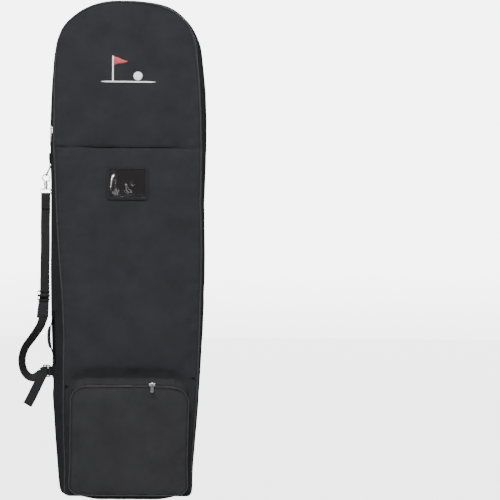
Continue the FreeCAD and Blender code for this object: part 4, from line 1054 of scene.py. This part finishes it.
def make_emblem(skin):
    """A plain pin flag, a ball and a ground line, in satin stitch."""
    def upright(x, middle, half):
        """The two ends of an upright stitch, from millimetres beside and above the emblem's middle."""
        return (x * MM, EMBLEM_Z + (middle - half) * MM), (x * MM, EMBLEM_Z + (middle + half) * MM)

    pitch = STRAND_PITCH / MM
    flag = []
    for x in np.arange(-36.2, 0.0, pitch):
        half = 11.0 * (x / -36.3)
        wave = 1.2 * math.sin(x / 6.0)
        flag.append(upright(x, 20 + wave, half))
    laid_on("emblem_flag", satin(skin, flag), RED_THREAD, "hood", "thread", "emblem")

    pole = [
        ((-40.2 * MM, EMBLEM_Z + z * MM), (-36.4 * MM, EMBLEM_Z + z * MM)) for z in np.arange(-30, 33, pitch)
    ]
    ball = [upright(24 + x, -17, math.sqrt(11.0**2 - x**2)) for x in np.arange(-10.8, 10.9, pitch)]
    ground = [upright(x, -31.5, 1.7 * min(1.0, (70 - abs(x)) / 14)) for x in np.arange(-69, 69, pitch)]
    parts = satin(skin, pole) + satin(skin, ball, 0.0013) + satin(skin, ground)
    laid_on("emblem_white", parts, WHITE_THREAD, "hood", "thread", "emblem")


# ---- ID window ----
ID_HALF, ID_LOW, ID_HIGH, ID_RIM = 0.051, 0.750, 0.832, 0.0060
FILM_BUCKLES = (  # ridges of the slack film: middle (x, z), lean, half length, half width, height
    (-0.029, 0.789, 0.10, 0.020, 0.0075, 0.0011),
    (0.003, 0.781, -0.35, 0.009, 0.0055, 0.0007),
    (0.014, 0.794, 0.5, 0.008, 0.0050, 0.0006),
)


def film_swell(x, z):
    out = 0.0004 * noise(Vector((x * 34, 2.0, z * 26)))
    for cx, cz, lean, length, width, height in FILM_BUCKLES:
        across = (x - cx) - lean * (z - cz)
        out += height * math.exp(-(((z - cz) / length) ** 4) - (across / width) ** 2)
    return out


def rounded_loop(half, low, high, radius, step=0.003):
    """A closed rounded rectangle as (x, z) points."""
    corners = [(half - radius, high - radius, 0), (-half + radius, high - radius, 1)]
    corners += [(-half + radius, low + radius, 2), (half - radius, low + radius, 3)]
    points = []
    for x, z, quarter in corners:
        for k in range(7):
            a = (quarter + k / 6) * math.pi / 2
            points.append((x + radius * math.cos(a), z + radius * math.sin(a)))
    return even_path(points + [points[0]], step)[:-1]


def make_id_window(skin):
    """The card window: a cloth backing, a buckled clear film and a stitched binding round them."""
    nx, nz = 100, 80

    def sheet_at(lift, buckled, name, material, slot, node):
        verts = []
        for j in range(nz + 1):
            for i in range(nx + 1):
                x = -ID_HALF + 0.002 + (2 * ID_HALF - 0.004) * i / nx
                z = ID_LOW + 0.002 + (ID_HIGH - ID_LOW - 0.004) * j / nz
                point, normal = skin.front(x, z, lift)
                swell = film_swell(x, z) if buckled else 0.0
                verts.append(point + normal * swell)
        obj = mesh_object(name, verts, grid_faces(nx, nz))
        with_modifier(obj, "SOLIDIFY", thickness=0.0003, offset=0.0)
        finish_mesh(obj, material, "bag", slot, node, settled=False)

    sheet_at(0.0007, False, "id_card_cloth", BACKING, "window_backing", "id_backing")
    sheet_at(0.0022, True, "id_film", FILM, "window_film", "id_window")
    mid = rounded_loop(ID_HALF - ID_RIM / 2, ID_LOW + ID_RIM / 2, ID_HIGH - ID_RIM / 2, 0.0035)
    path = [skin.front(x, z, 0.0030)[0] for x, z in mid]
    outs = [(x, 0.0, z - (ID_LOW + ID_HIGH) / 2) for x, z in mid]
    ribs = sweep(path, outs, strip_profile(ID_RIM, 0.0016, 8), closed=True)
    laid_on("id_binding", [ribs], BINDING, "bag", "piping", "id_frame")
    rows = []
    for inset in (0.0014, ID_RIM - 0.0014):
        loop = rounded_loop(ID_HALF - inset, ID_LOW + inset, ID_HIGH - inset, 0.003)
        loop = np.vstack([loop, loop[:1]])
        rows += stitched([skin.front(x, z, 0.0040) for x, z in loop])
    laid_on("id_stitches", rows, DARK_THREAD, "bag", "thread")


# ---- front pocket ----
POCKET_Y = -0.173
POCKET_LOW, POCKET_TOP_FRONT, POCKET_TOP_BACK = 0.017, 0.286, 0.306
POCKET_TOP_HALF, POCKET_LOW_HALF, POCKET_R = 0.150, 0.144, 0.030
POCKET_D = FRONT_Y - POCKET_Y
POCKET_ZIP_S, POCKET_ZIP_HALF = 0.030, 0.116
SLOPE_DROP = POCKET_TOP_BACK - POCKET_TOP_FRONT
SLOPE_L = math.hypot(POCKET_D, SLOPE_DROP)
POCKET_LOOP_COUNT = 281


def pocket_half(z, shrink=0.0):
    """Half the pocket's width at a height."""
    t = (z - POCKET_LOW) / (POCKET_TOP_FRONT - POCKET_LOW)
    return POCKET_LOW_HALF + t * (POCKET_TOP_HALF - POCKET_LOW_HALF) - shrink


def pocket_corners(low, high, r, shrink, steps):
    """The left side's lower and upper corners as two lists of (half width, z)."""
    angles = [k / steps * math.pi / 2 for k in range(steps + 1)]
    below, above = pocket_half(low + r, shrink) - r, pocket_half(high - r, shrink) - r
    lower = [(below + r * math.sin(a), low + r - r * math.cos(a)) for a in angles]
    upper = [(above + r * math.cos(a), high - r + r * math.sin(a)) for a in angles]
    return lower, upper


def pocket_loop(shrink, top):
    """The pocket's outline as (x, z) points, closed, from the middle of the bottom round to the left."""
    low, high = POCKET_LOW + shrink, top - shrink
    lower, upper = pocket_corners(low, high, POCKET_R - shrink, shrink, 8)
    left = [(-half, z) for half, z in lower + upper]
    right = [(-x, z) for x, z in reversed(left)]
    corners = [(0.0, low)] + left + [(0.0, high)] + right + [(0.0, low)]
    return even_path(corners, None, POCKET_LOOP_COUNT)[:-1]


def slope_point(x, s, lift=0.0):
    """A point on the pocket's sloping top, s down the slope from the front panel."""
    t = s / SLOPE_L
    y = FRONT_Y - POCKET_D * t
    z = POCKET_TOP_BACK - SLOPE_DROP * t
    sag = -0.0035 * (1 - (x / POCKET_TOP_HALF) ** 2) * math.sin(math.pi * min(t, 1.0)) ** 0.7
    return np.array([x, y - lift * SLOPE_DROP / SLOPE_L, z + sag + lift * POCKET_D / SLOPE_L])


def pocket_rows():
    """Rows of (half width, z) that fill the pocket's face, close together round its corners."""
    lower, upper = pocket_corners(POCKET_LOW, POCKET_TOP_FRONT, POCKET_R, 0.0, 7)
    heights = np.linspace(POCKET_LOW + POCKET_R, POCKET_TOP_FRONT - POCKET_R, 26)[1:-1]
    return lower + [(pocket_half(z), z) for z in heights] + upper


POCKET_COLUMNS = 36
POCKET_SWELL = 0.0065


def make_pocket_face():
    """The pocket's padded face, swollen by cloth simulation between its piped edges."""
    rows = pocket_rows()
    verts = []
    for half, z in rows:
        verts += [(half * (2 * u / POCKET_COLUMNS - 1), POCKET_Y + 0.001, z) for u in range(POCKET_COLUMNS + 1)]
    n = POCKET_COLUMNS + 1
    rest = np.array(verts)
    last = len(rows) - 1
    edge = [j * n + i for j in range(last + 1) for i in range(n) if i in (0, n - 1) or j in (0, last)]
    obj = mesh_object("pocket_front", verts, grid_faces(POCKET_COLUMNS, last))
    moved = held_back(rest, inflate(obj, edge, 3.0, 0.012, 4.0), np.full(len(rest), POCKET_SWELL))
    for vertex, place in zip(obj.data.vertices, moved):
        vertex.co = place
    with_modifier(obj, "SUBSURF", levels=1, render_levels=1, boundary_smooth="PRESERVE_CORNERS")
    apply_modifiers(obj)
    for vertex in obj.data.vertices:
        x, y, z = vertex.co
        half = POCKET_LOW_HALF + (z - POCKET_LOW) / 0.269 * (POCKET_TOP_HALF - POCKET_LOW_HALF)
        near = min(half - abs(x), z - POCKET_LOW, POCKET_TOP_FRONT - z)
        rough = 0.0012 * noise(Vector((x * 16, 1.0, z * 16)))
        rough += 0.0010 * noise(Vector((x * 48, 4.0, z * 40))) * fade(near, 0.05)
        vertex.co.y -= rough * (1 - fade(near, 0.004))
    with_modifier(obj, "SOLIDIFY", thickness=0.0022, offset=-1.0, use_rim=True)
    return finish_mesh(obj, POCKET_CLOTH_PAINTED_LIGHT, "pocket_front", "pocket_cloth", "pocket_face")


def on_zip_gap(x, z):
    """True on the part of the pocket's top that belongs to the zipper band."""
    return abs(x) < POCKET_ZIP_HALF and z > POCKET_TOP_FRONT - 0.004


def make_pocket_sides():
    """The bellows round the pocket, drawn in a little between the case and the piped edge."""
    depth_steps = 9
    rings = []
    for k in range(depth_steps):
        t = k / (depth_steps - 1)
        y = FRONT_Y + 0.0008 - (POCKET_D - 0.0015) * t
        top = POCKET_TOP_BACK - SLOPE_DROP * t
        ring = []
        for x, z in pocket_loop(0.0, top):
            pull = 0.0030 * math.sin(math.pi * t) ** 0.8
            crease = 0.0012 * noise(Vector((x * 40, t * 3.0, z * 40))) * math.sin(math.pi * t)
            centre = np.array([0.0, 0.15])
            inward = centre - np.array([x, z])
            inward /= np.linalg.norm(inward)
            px, pz = np.array([x, z]) + inward * (pull + crease)
            ring.append((px, y, pz))
        rings.append(ring)
    count = len(rings[0])
    verts = [p for ring in rings for p in ring]
    faces = []
    for k in range(depth_steps - 1):
        for i in range(count):
            j = (i + 1) % count
            x, z = (rings[0][i][0] + rings[0][j][0]) / 2, rings[-1][i][2]
            if on_zip_gap(x, z):
                continue
            faces.append((k * count + i, (k + 1) * count + i, (k + 1) * count + j, k * count + j))
    obj = mesh_object("pocket_sides", verts, faces)
    drop_loose(obj)
    with_modifier(obj, "SOLIDIFY", thickness=0.0018, offset=0.0, use_rim=True)
    finish_mesh(obj, POCKET_CLOTH_PAINTED_LIGHT, None, "pocket_cloth", "pocket_bellows", levels=1)
    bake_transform(obj)


def band(name, s0, s1, lift, material, body, slot, *nodes, thickness=0.0014, half=POCKET_ZIP_HALF):
    """A strip along the pocket's sloping top between two distances down the slope."""
    nx, ns = 90, 5
    verts = []
    for j in range(ns + 1):
        for i in range(nx + 1):
            x = half * (2 * i / nx - 1)
            s = s0 + (s1 - s0) * j / ns
            wave = 0.0007 * noise(Vector((x * 45, s * 60, 2.0)))
            verts.append(slope_point(x, s, lift + wave))
    obj = mesh_object(name, verts, [face[:1] + face[:0:-1] for face in grid_faces(nx, ns)])
    with_modifier(obj, "SOLIDIFY", thickness=thickness, offset=-1.0, use_rim=True)
    return finish_mesh(obj, material, body, slot, *nodes)


def make_pocket():
    make_pocket_face()
    make_pocket_sides()
    s = POCKET_ZIP_S
    wide = POCKET_ZIP_HALF + 0.0015
    band("pocket_top", -0.002, s - CLOTH_EDGE, 0.0008, POCKET_CLOTH_PAINTED_LIGHT, "bag", "pocket_cloth", half=wide)
    low = SLOPE_L - 0.0004
    band("pocket_brow", s + CLOTH_EDGE, low, 0.0004, POCKET_CLOTH_PAINTED_LIGHT, "pocket_front", "pocket_cloth", half=wide)
    halves = (
        ("pocket_upper", "bag", -1, s - 0.012, s - 0.001),
        ("pocket_lower", "pocket_front", 1, s + 0.001, SLOPE_L),
    )
    for name, body, side, s0, s1 in halves:
        band(name + "_strip", s0, s1, -0.0018, POCKET_TAPE, body, "zip_tape", name + "_tape", thickness=0.0006)
    places = np.linspace(-POCKET_ZIP_HALF, POCKET_ZIP_HALF, 60)
    for name, body, side, s0, s1 in halves:
        run = [slope_point(x, s + side * 0.0016, -0.0008) for x in places]
        piece_from(name + "_teeth", [coil_part(run, OUTWARD_Y, COIL_R)], COIL, body, "zip_coil", name + "_coil")
    loop = pocket_loop(-0.0006, POCKET_TOP_FRONT)
    path = [(x, POCKET_Y - 0.0004, z) for x, z in loop]
    cord = sweep(path, OUTWARD_Y, ring_profile(0.0017, 12), closed=True)
    piece_from("pocket_cord", [cord], PIPING, "pocket_front", "piping", "pocket_piping")


def pocket_stitches(skin):
    loop = pocket_loop(0.0042, POCKET_TOP_FRONT)
    loop = np.vstack([loop, loop[:1]])
    spots = [settle((x, POCKET_Y, z)) for x, z in loop]
    rows = stitched([skin.front(spot.x, spot.z, 0.0001) for spot in spots])
    laid_on("pocket_face_stitches", rows, DARK_THREAD, "pocket_front", "thread")
    rows = []
    for s in (POCKET_ZIP_S - CLOTH_EDGE - 0.002, 0.004):
        points = [slope_point(x, s, 0.0010) for x in np.linspace(-POCKET_ZIP_HALF, POCKET_ZIP_HALF, 80)]
        rows += stitch_row(points, [(0, -0.52, 0.85)] * len(points))
    piece_from("pocket_top_stitches", rows, DARK_THREAD, "bag", "thread")


# ---- strap ----
STRAP_Y, EYE_X = 0.015, -0.20796
WEB_W, WEB_T = 0.0238, 0.0015
ANCHOR_Z = 0.316
BUCKLE_X0 = -0.2118


def web(points, sides, width=WEB_W, thickness=WEB_T, step=0.004):
    """A length of webbing along points; sides gives its width direction at each of them."""
    sides = np.array(sides, float)
    if sides.ndim == 1:
        path = resampled(points, step)
        return sweep(path, sides, strip_profile(width, thickness))
    both = [np.concatenate([np.array(p, float), side]) for p, side in zip(points, sides)]
    fine = resampled(both, step)
    return sweep(fine[:, :3], fine[:, 3:], strip_profile(width, thickness))


def make_strap():
    x, y, level = EYE_X, STRAP_Y, (1.0, 0.0, 0.0)
    loop = [  # over the swivel eye and down through the adjuster
        (x, y - 0.0018, 0.7275), (x, y - 0.0022, 0.745), (x, y - 0.0032, 0.7600), (x, y - 0.0031, 0.7665),
        (x, y, 0.7694), (x, y + 0.0031, 0.7665), (x, y + 0.0032, 0.7600), (x, y + 0.0012, 0.748),
        (x, y + 0.0004, 0.7275), (x - 0.0004, y + 0.001, 0.690), (x + 0.0002, y - 0.001, 0.630),
        (x - 0.0005, y + 0.0008, 0.580),
        (x - 0.0005, y + 0.0032, 0.528), (x - 0.0008, y + 0.0040, 0.5215), (x - 0.001, y + 0.0028, 0.5155),
        (x - 0.001, y - 0.0030, 0.5115), (x - 0.001, y - 0.0042, 0.508), (x - 0.001, y - 0.0030, 0.5045),
        (x - 0.001, y + 0.0028, 0.5015), (x - 0.0012, y + 0.0040, 0.4965), (x - 0.0015, y + 0.0024, 0.488),
        (x - 0.002, y + 0.0008, 0.470), (x - 0.003, y + 0.0004, 0.452),
    ]
    runs = [web(loop, level)]
    under = [  # the second layer behind the adjuster
        (x - 0.0012, y + 0.0062, 0.552), (x - 0.001, y + 0.0060, 0.528), (x - 0.0015, y + 0.0064, 0.508),
        (x - 0.0045, y + 0.0060, 0.490), (x - 0.0072, y + 0.0032, 0.470), (x - 0.009, y + 0.0024, 0.450),
    ]
    runs.append(web(under, level))
    slack = [  # the loop that hangs out to the left
        (-0.2108, y + 0.0012, 0.456), (-0.2135, y, 0.446), (-0.2205, y - 0.001, 0.428), (-0.2395, y, 0.400),
        (-0.2575, y, 0.374), (-0.2650, y, 0.346), (-0.2615, y, 0.320), (-0.2500, y, 0.3035),
        (-0.2370, y, 0.2985),
        (-0.2250, y + 0.0008, 0.3035), (-0.2145, y + 0.0022, 0.3110),
    ]
    angles = [0, 8, 18, 28, 32, 34, 34, 32, 28, 20, 8]  # the webbing's turn out of the flat, in degrees
    across = []
    for before, after, degrees in zip(slack[:1] + slack[:-1], slack[1:] + slack[-1:], angles):
        along = Vector(after) - Vector(before)
        flat = Vector((-along.z, 0.0, along.x)).normalized()
        turn = math.radians(degrees)
        across.append(tuple(flat * math.cos(turn) + Vector((0.0, math.sin(turn), 0.0))))
    runs.append(web(slack, across, width=0.0225))
    bar, middle = BUCKLE_X0 + 0.0014, BUCKLE_X0 + 0.0096
    wrap = [  # round the ladder lock's middle bar and down to the cut end
        (-0.2155, y + 0.0030, 0.3125), (bar, y + 0.0036, 0.3148),
        (middle - 0.0040, y + 0.0036, 0.3158), (middle, y + 0.0036, 0.3162),
        (middle + 0.0028, y + 0.0020, 0.3164),
        (middle + 0.0034, y, 0.3164), (middle + 0.0028, y - 0.0022, 0.3164), (middle, y - 0.0036, 0.3162),
        (middle - 0.0045, y - 0.0040, 0.3150), (bar - 0.0010, y - 0.0046, 0.3090),
        (-0.2190, y - 0.0050, 0.2930),
        (-0.2330, y - 0.0048, 0.2630), (-0.2455, y - 0.0040, 0.2380), (-0.2505, y - 0.0036, 0.2290),
    ]
    directions = [(0.1, 0, -1.0)] * 8 + [(0.25, 0, -0.95), (0.6, 0, -0.8)] + [(0.82, 0, -0.5)] * 4
    runs.append(web(wrap, directions, width=0.0236))
    laid_on("strap_webbing", runs, WEBBING, "strap", "webbing", "shoulder_strap")

    rows = []
    for z in (0.7315, 0.7400, 0.7525):
        out = y - 0.0032 if z > 0.74 else y - 0.0028
        points = [(x + dx, out, z) for dx in np.linspace(-0.0095, 0.0095, 12)]
        rows += stitch_row(points, [(0, -1, 0)] * 12)
    for sign in (-1, 1):
        places = np.linspace(0, 1, 12)
        points = [(x + sign * 0.0095 * (2 * t - 1), y - 0.0029, 0.7325 + 0.018 * t) for t in places]
        rows += stitch_row(points, [(0, -1, 0)] * 12)
    laid_on("strap_stitches", rows, DARK_THREAD, "strap", "thread")

    lock_bar = -0.1926 - 0.0014
    anchor = [
        (-0.1846, y - 0.0012, ANCHOR_Z), (-0.1888, y - 0.0016, ANCHOR_Z),
        (lock_bar + 0.0022, y - 0.0026, ANCHOR_Z),
        (lock_bar, y - 0.0030, ANCHOR_Z), (lock_bar - 0.0032, y - 0.0018, ANCHOR_Z),
        (lock_bar - 0.0036, y, ANCHOR_Z),
        (lock_bar - 0.0032, y + 0.0018, ANCHOR_Z), (lock_bar, y + 0.0030, ANCHOR_Z),
        (lock_bar + 0.0022, y + 0.0026, ANCHOR_Z), (-0.1888, y + 0.0016, ANCHOR_Z),
        (-0.1846, y + 0.0012, ANCHOR_Z),
    ]
    laid_on("anchor_webbing", [web(anchor, (0, 0, 1), step=0.0012)], WEBBING, "strap", "webbing", "anchor_loop")


def wall_strip(skin, y, z_values, width, lift, thickness=WEB_T):
    """Webbing that lies up the left wall."""
    hits = [skin.left(y, z, lift) for z in z_values]
    return sweep([np.array(h[0]) for h in hits], (0, 1, 0), strip_profile(width, thickness))


def box_stitches(skin, y, z0, z1, half, lift):
    """A sewn box with a cross in it, on the left wall."""
    corners = [(y - half, z0), (y + half, z0), (y + half, z1), (y - half, z1), (y - half, z0), (y + half, z1)]
    rows = []
    for a, b in list(zip(corners, corners[1:])) + [((y + half, z0), (y - half, z1))]:
        places = [(a[0] + (b[0] - a[0]) * t, a[1] + (b[1] - a[1]) * t) for t in np.linspace(0, 1, 8)]
        rows += stitched([skin.left(across, up, lift) for across, up in places])
    return rows


def end_taper(count):
    """Sizes along a piece that rounds off at both ends."""
    at = np.linspace(-1, 1, count)
    return np.clip((1 - at**6) ** 0.5, 0.25, 1.0)


def make_wall_tabs(skin):
    """The ring's tab, the anchor's patch and the side handle on the left wall, with their stitching."""
    bar = np.array([-0.19613, STRAP_Y, 0.838])
    top_hits = [skin.left(STRAP_Y, z, 0.0010)[0] for z in (0.872, 0.862, 0.852, 0.846)]
    back = [np.array(h) for h in top_hits]
    r = 0.0029
    turns = np.radians([20, -30, -80, -130, -180, -230])
    round_bar = [bar + np.array([r * math.cos(a), 0, r * math.sin(a)]) for a in turns]
    front = [np.array(skin.left(STRAP_Y, z, 0.0028)[0]) for z in (0.848, 0.855, 0.863, 0.8705)]
    tab = web([tuple(p) for p in back + round_bar + front], (0, 1, 0), width=0.0222, step=0.0016)
    laid_on("ring_webbing", [tab], WEBBING, "bag", "webbing", "ring_tab")
    patch = wall_strip(skin, STRAP_Y, np.linspace(ANCHOR_Z - 0.017, ANCHOR_Z + 0.017, 14), 0.028, 0.0010)
    laid_on("anchor_patch_webbing", [patch], WEBBING, "bag", "webbing", "anchor_patch")

    y, z0, half, sewn, rise = -0.045, 0.404, 0.067, 0.052, 0.0110
    points = []
    for dz in np.linspace(-half, half, 60):
        t = max(0.0, 1 - (dz / sewn) ** 2)
        point, normal = skin.left(y, z0 + dz, 0.0009)
        points.append(np.array(point) + np.array([-1.0, 0, 0]) * rise * t**1.3)
    grip = sweep(points, (0, 1, 0), strip_profile(0.032, 0.0022))
    laid_on("handle_webbing", [grip], WEBBING, "bag", "webbing", "side_handle")
    middle = [p + np.array([-0.0016, 0, 0]) for p in points if abs(p[2] - z0) < 0.029]
    fold = sweep(middle, (0, 1, 0), ring_profile(0.0100, 16, 0.42), scales=end_taper(len(middle)))
    laid_on("handle_grip", [fold], WEBBING, "bag", "webbing", "side_handle")
    patches = []
    for end in (-half, half - 0.013):
        patches.append(wall_strip(skin, y, np.linspace(z0 + end, z0 + end + 0.013, 6), 0.038, 0.0026, 0.0014))
    laid_on("handle_tabs", patches, WEBBING, "bag", "webbing", "handle_patches")
    rows = box_stitches(skin, STRAP_Y, 0.8545, 0.8690, 0.0088, 0.0038)
    heights = np.linspace(ANCHOR_Z - 0.0145, ANCHOR_Z + 0.0145, 8)
    for dy in (0.0115, -0.0115):
        rows += stitched([skin.left(STRAP_Y + dy, z, 0.0019) for z in heights])
    for end in (-half + 0.002, half - 0.011):
        rows += box_stitches(skin, y, z0 + end, z0 + end + 0.009, 0.0165, 0.0036)
    laid_on("wall_stitches", rows, DARK_THREAD, "bag", "thread")


# ---- padding inside ----
def quilt(x, z, pitch):
    """A diamond-quilted swell between 0 on its seams and 1 between them."""
    a = abs(math.sin(math.pi * (x + z) / pitch))
    b = abs(math.sin(math.pi * (x - z) / pitch))
    return (a * b) ** 0.45


def closed_pad(name, outer, inner, rows, columns, body, node):
    """A pad from two grids of points that share their edges."""
    verts = list(outer) + list(inner)
    base = rows * columns
    faces = []

    def at(j, i, side):
        edge = j in (0, rows - 1) or i in (0, columns - 1)
        return j * columns + i + (0 if side == 0 or edge else base)

    for j in range(rows - 1):
        for i in range(columns - 1):
            faces.append((at(j, i, 0), at(j, i + 1, 0), at(j + 1, i + 1, 0), at(j + 1, i, 0)))
            faces.append((at(j, i, 1), at(j + 1, i, 1), at(j + 1, i + 1, 1), at(j, i + 1, 1)))
    obj = mesh_object(name, verts, faces)
    drop_loose(obj, outward=True)
    finish_mesh(obj, LINING, body, "lining_foam", node, levels=1)


def make_pads():
    rows = panel_grid(FRONT_INSET + 0.0055, SEAM_ROW + 3)
    count, columns = len(rows), len(rows[0])
    outer, inner = [], []
    for j, row in enumerate(rows):
        for i, (x, z) in enumerate(row):
            rim = min(1.0, 4.0 * min(i, columns - 1 - i, j, count - 1 - j) / 10.0) ** 0.5
            outer.append((x, -0.1330 - 0.0030 * rim, z))
            inner.append((x, -0.1330 + rim * (0.0010 + 0.0028 * quilt(x, z, 0.060)), z))
    closed_pad("hood_quilting", outer, inner, count, columns, "hood", "hood_pad")

    ys = np.linspace(-0.079, 0.119, 26)
    outer, inner = [], []
    path = outline_path(0.0, 0.0, 0.962, 0.012)
    count, columns = len(path), len(ys)
    for j, (px, py, pz) in enumerate(path):
        centre = np.array([0.0, 1.0])
        inward = centre - np.array([px, pz]) if pz > SHOULDER_Z else np.array([-px, 0.0])
        inward = inward / np.linalg.norm(inward)
        for i, y in enumerate(ys):
            rim = min(1.0, 4.0 * min(i, columns - 1 - i, j, count - 1 - j) / 9.0) ** 0.5
            base = np.array([px, pz]) + inward * (barrel_inset(y) + 0.0068)
            run = j * 0.012
            out = base - inward * 0.0028 * rim
            back = base + inward * rim * (0.0008 + 0.0030 * quilt(run, y, 0.055))
            outer.append((out[0], y, out[1]))
            inner.append((back[0], y, back[1]))
    closed_pad("crown_quilting", outer, inner, count, columns, "bag", "crown_pad")


# ---- hard parts with eased edges ----
HARD_PARTS = (
    ("main_slider", ZINC, "zinc", 0.0003),
    ("main_pull", ZINC, "zinc", 0.0003),
    ("pocket_slider", ZINC, "zinc", 0.0003),
    ("pocket_pull", ZINC, "zinc", 0.0003),
    ("snap_hook", ZINC, "zinc", 0.0006),
    ("hook_gate", STEEL, "steel", 0.0003),
    ("swivel_eye", ZINC, "zinc", 0.0007),
    ("strap_adjuster", BUCKLE, "housing_plastic", 0.0005),
    ("ladder_lock", BUCKLE, "housing_plastic", 0.0005),
    ("left_wheel_housing", HOUSING, "housing_plastic", 0.0006),
    ("right_wheel_housing", HOUSING, "housing_plastic", 0.0006),
    ("left_hub", HUB, "wheel_plastic", 0.0006),
    ("right_hub", HUB, "wheel_plastic", 0.0006),
)


CLOTH_MOUNTED = {
    "main_slider": "main_slider",
    "main_pull": "main_slider",
    "pocket_slider": "pocket_slider",
    "pocket_pull": "pocket_slider",
}


def make_hard_parts():
    """Copies of the moulded and cast parts, with their edges rounded over."""
    for node, material, slot, width in HARD_PARTS:
        source = NODES[node]
        obj = link(bpy.data.objects.new(node + "_eased", source.data.copy()))
        obj.matrix_world = source.matrix_world.copy()
        if node in CLOTH_MOUNTED:
            low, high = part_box(CLOTH_MOUNTED[node])
            middle = (low + high) / 2
            obj.location += settle(middle) - middle
        mesh = bmesh.new()
        mesh.from_mesh(obj.data)
        bmesh.ops.remove_doubles(mesh, verts=mesh.verts, dist=1e-6)
        bmesh.ops.dissolve_limit(mesh, angle_limit=math.radians(0.6), verts=mesh.verts, edges=mesh.edges)
        mesh.to_mesh(obj.data)
        mesh.free()
        with_modifier(
            obj, "BEVEL", width=width, segments=2, limit_method="ANGLE", angle_limit=math.radians(38),
            use_clamp_overlap=True,
        )
        apply_modifiers(obj)
        obj.data.polygons.foreach_set("use_smooth", [True] * len(obj.data.polygons))
        obj.data.set_sharp_from_angle(angle=math.radians(50))
        with_modifier(obj, "WEIGHTED_NORMAL", keep_sharp=True)
        finish_mesh(obj, material, source["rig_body"], slot, node, settled=False)


# ---- stage ----
VIEW_WIDTH = 1.275  # what the picture spans at the case
CAMERA_DISTANCE = 6.6
CAMERA_ROLL = math.radians(0.45)
AIM = Vector((0.3137, 0.0, 0.628))
FLOOR_R, SWEEP_R, WALL_TOP, WALL_SIDES = 12.0, 3.0, 16.0, 96
BACKDROP_GLOW, GLOW_RISE = 5.5, 0.5  # the wall glows in full from GLOW_RISE above the floor


def make_backdrop():
    """A pale round studio: a floor that curves up into a glowing wall, which casts no light on the case."""
    profile = [(FLOOR_R, 0.0)]
    for k in range(1, 13):
        a = k / 12 * math.pi / 2
        profile.append((FLOOR_R + SWEEP_R * math.sin(a), SWEEP_R * (1 - math.cos(a))))
    profile.append((FLOOR_R + SWEEP_R, WALL_TOP))
    turns = [2 * math.pi * k / WALL_SIDES for k in range(WALL_SIDES)]
    verts = [(r * math.cos(a), r * math.sin(a), z) for r, z in profile for a in turns]
    faces = [tuple(range(WALL_SIDES))]
    for j in range(len(profile) - 1):
        for k in range(WALL_SIDES):
            after = (k + 1) % WALL_SIDES
            here, above = j * WALL_SIDES, (j + 1) * WALL_SIDES
            faces.append((here + k, here + after, above + after, above + k))
    wall = mesh_object("backdrop", verts, faces)
    n = Nodes("backdrop", Roughness=0.95, Specular_IOR_Level=0.05)
    n.to_shader("Base Color", n.ramp(n.noise(3.0), (0.88, 0.88, 0.88), (0.90, 0.90, 0.90)))
    height = n.add("ShaderNodeSeparateXYZ", {"Vector": n.coords}).outputs["Z"]
    rise = n.math("MULTIPLY", height, 1.0 / GLOW_RISE)
    n.to_shader("Emission Color", n.ramp(rise, (0.72, 0.72, 0.725), (1.0, 1.0, 1.0), 0.0, 1.0))
    n.shader.inputs["Emission Strength"].default_value = BACKDROP_GLOW
    wall.data.materials.append(n.material)
    wall.visible_diffuse = wall.visible_glossy = wall.visible_shadow = False


def area_light(name, place, aim, size, power):
    data = bpy.data.lights.new(name, "AREA")
    data.shape = "RECTANGLE"
    data.size, data.size_y = size
    data.energy = power
    light = link(bpy.data.objects.new(name, data))
    light.location = place
    light.rotation_euler = (Vector(aim) - Vector(place)).to_track_quat("-Z", "Y").to_euler()


def make_light():
    world = bpy.data.worlds.new("studio")
    world.use_nodes = True
    background = world.node_tree.nodes["Background"]
    background.inputs["Color"].default_value = (0.95, 0.97, 1.0, 1)
    background.inputs["Strength"].default_value = 0.62
    bpy.context.scene.world = world
    area_light("left", (-3.6, -2.0, 1.5), (0, 0, 0.7), (0.8, 2.4), 52)
    area_light("back", (1.4, 4.4, 3.2), (0, 0, 0.6), (2.6, 2.0), 230)
    area_light("key", (-0.6, -4.2, 3.8), (0, 0, 0.7), (2.4, 1.6), 400)
    area_light("fill", (2.8, -3.2, 1.8), (0, 0, 0.6), (2.0, 2.4), 80)
    area_light("low", (0.0, -4.4, 0.5), (0, 0, 0.5), (1.6, 0.5), 14)
    area_light("glint", (-0.75, -5.8, 1.55), (0, 0, 0.8), (0.10, 0.45), 55)


def make_camera():
    data = bpy.data.cameras.new("camera")
    data.sensor_width = 36.0
    data.lens = data.sensor_width * CAMERA_DISTANCE / VIEW_WIDTH
    data.clip_end = 100.0
    camera = link(bpy.data.objects.new("camera", data))
    camera.location = (0.0, -CAMERA_DISTANCE, AIM.z)
    turn = (AIM - camera.location).to_track_quat("-Z", "Y")
    camera.rotation_euler = (turn @ Quaternion((0, 0, 1), CAMERA_ROLL)).to_euler()
    bpy.context.scene.camera = camera


# ---- build ----
dress_cad_nodes()
shell = build_shell()
bag, hood = make_shells(shell)
front_skin = Skin(bag, hood)
make_cords()
make_main_zip()
zip_stitches(front_skin)
make_emblem(front_skin)
make_id_window(front_skin)
make_pocket()
pocket_stitches(Skin(bpy.data.objects["pocket_front"]))
make_strap()
make_wall_tabs(front_skin)
make_pads()
make_hard_parts()
make_backdrop()
make_light()
make_camera()
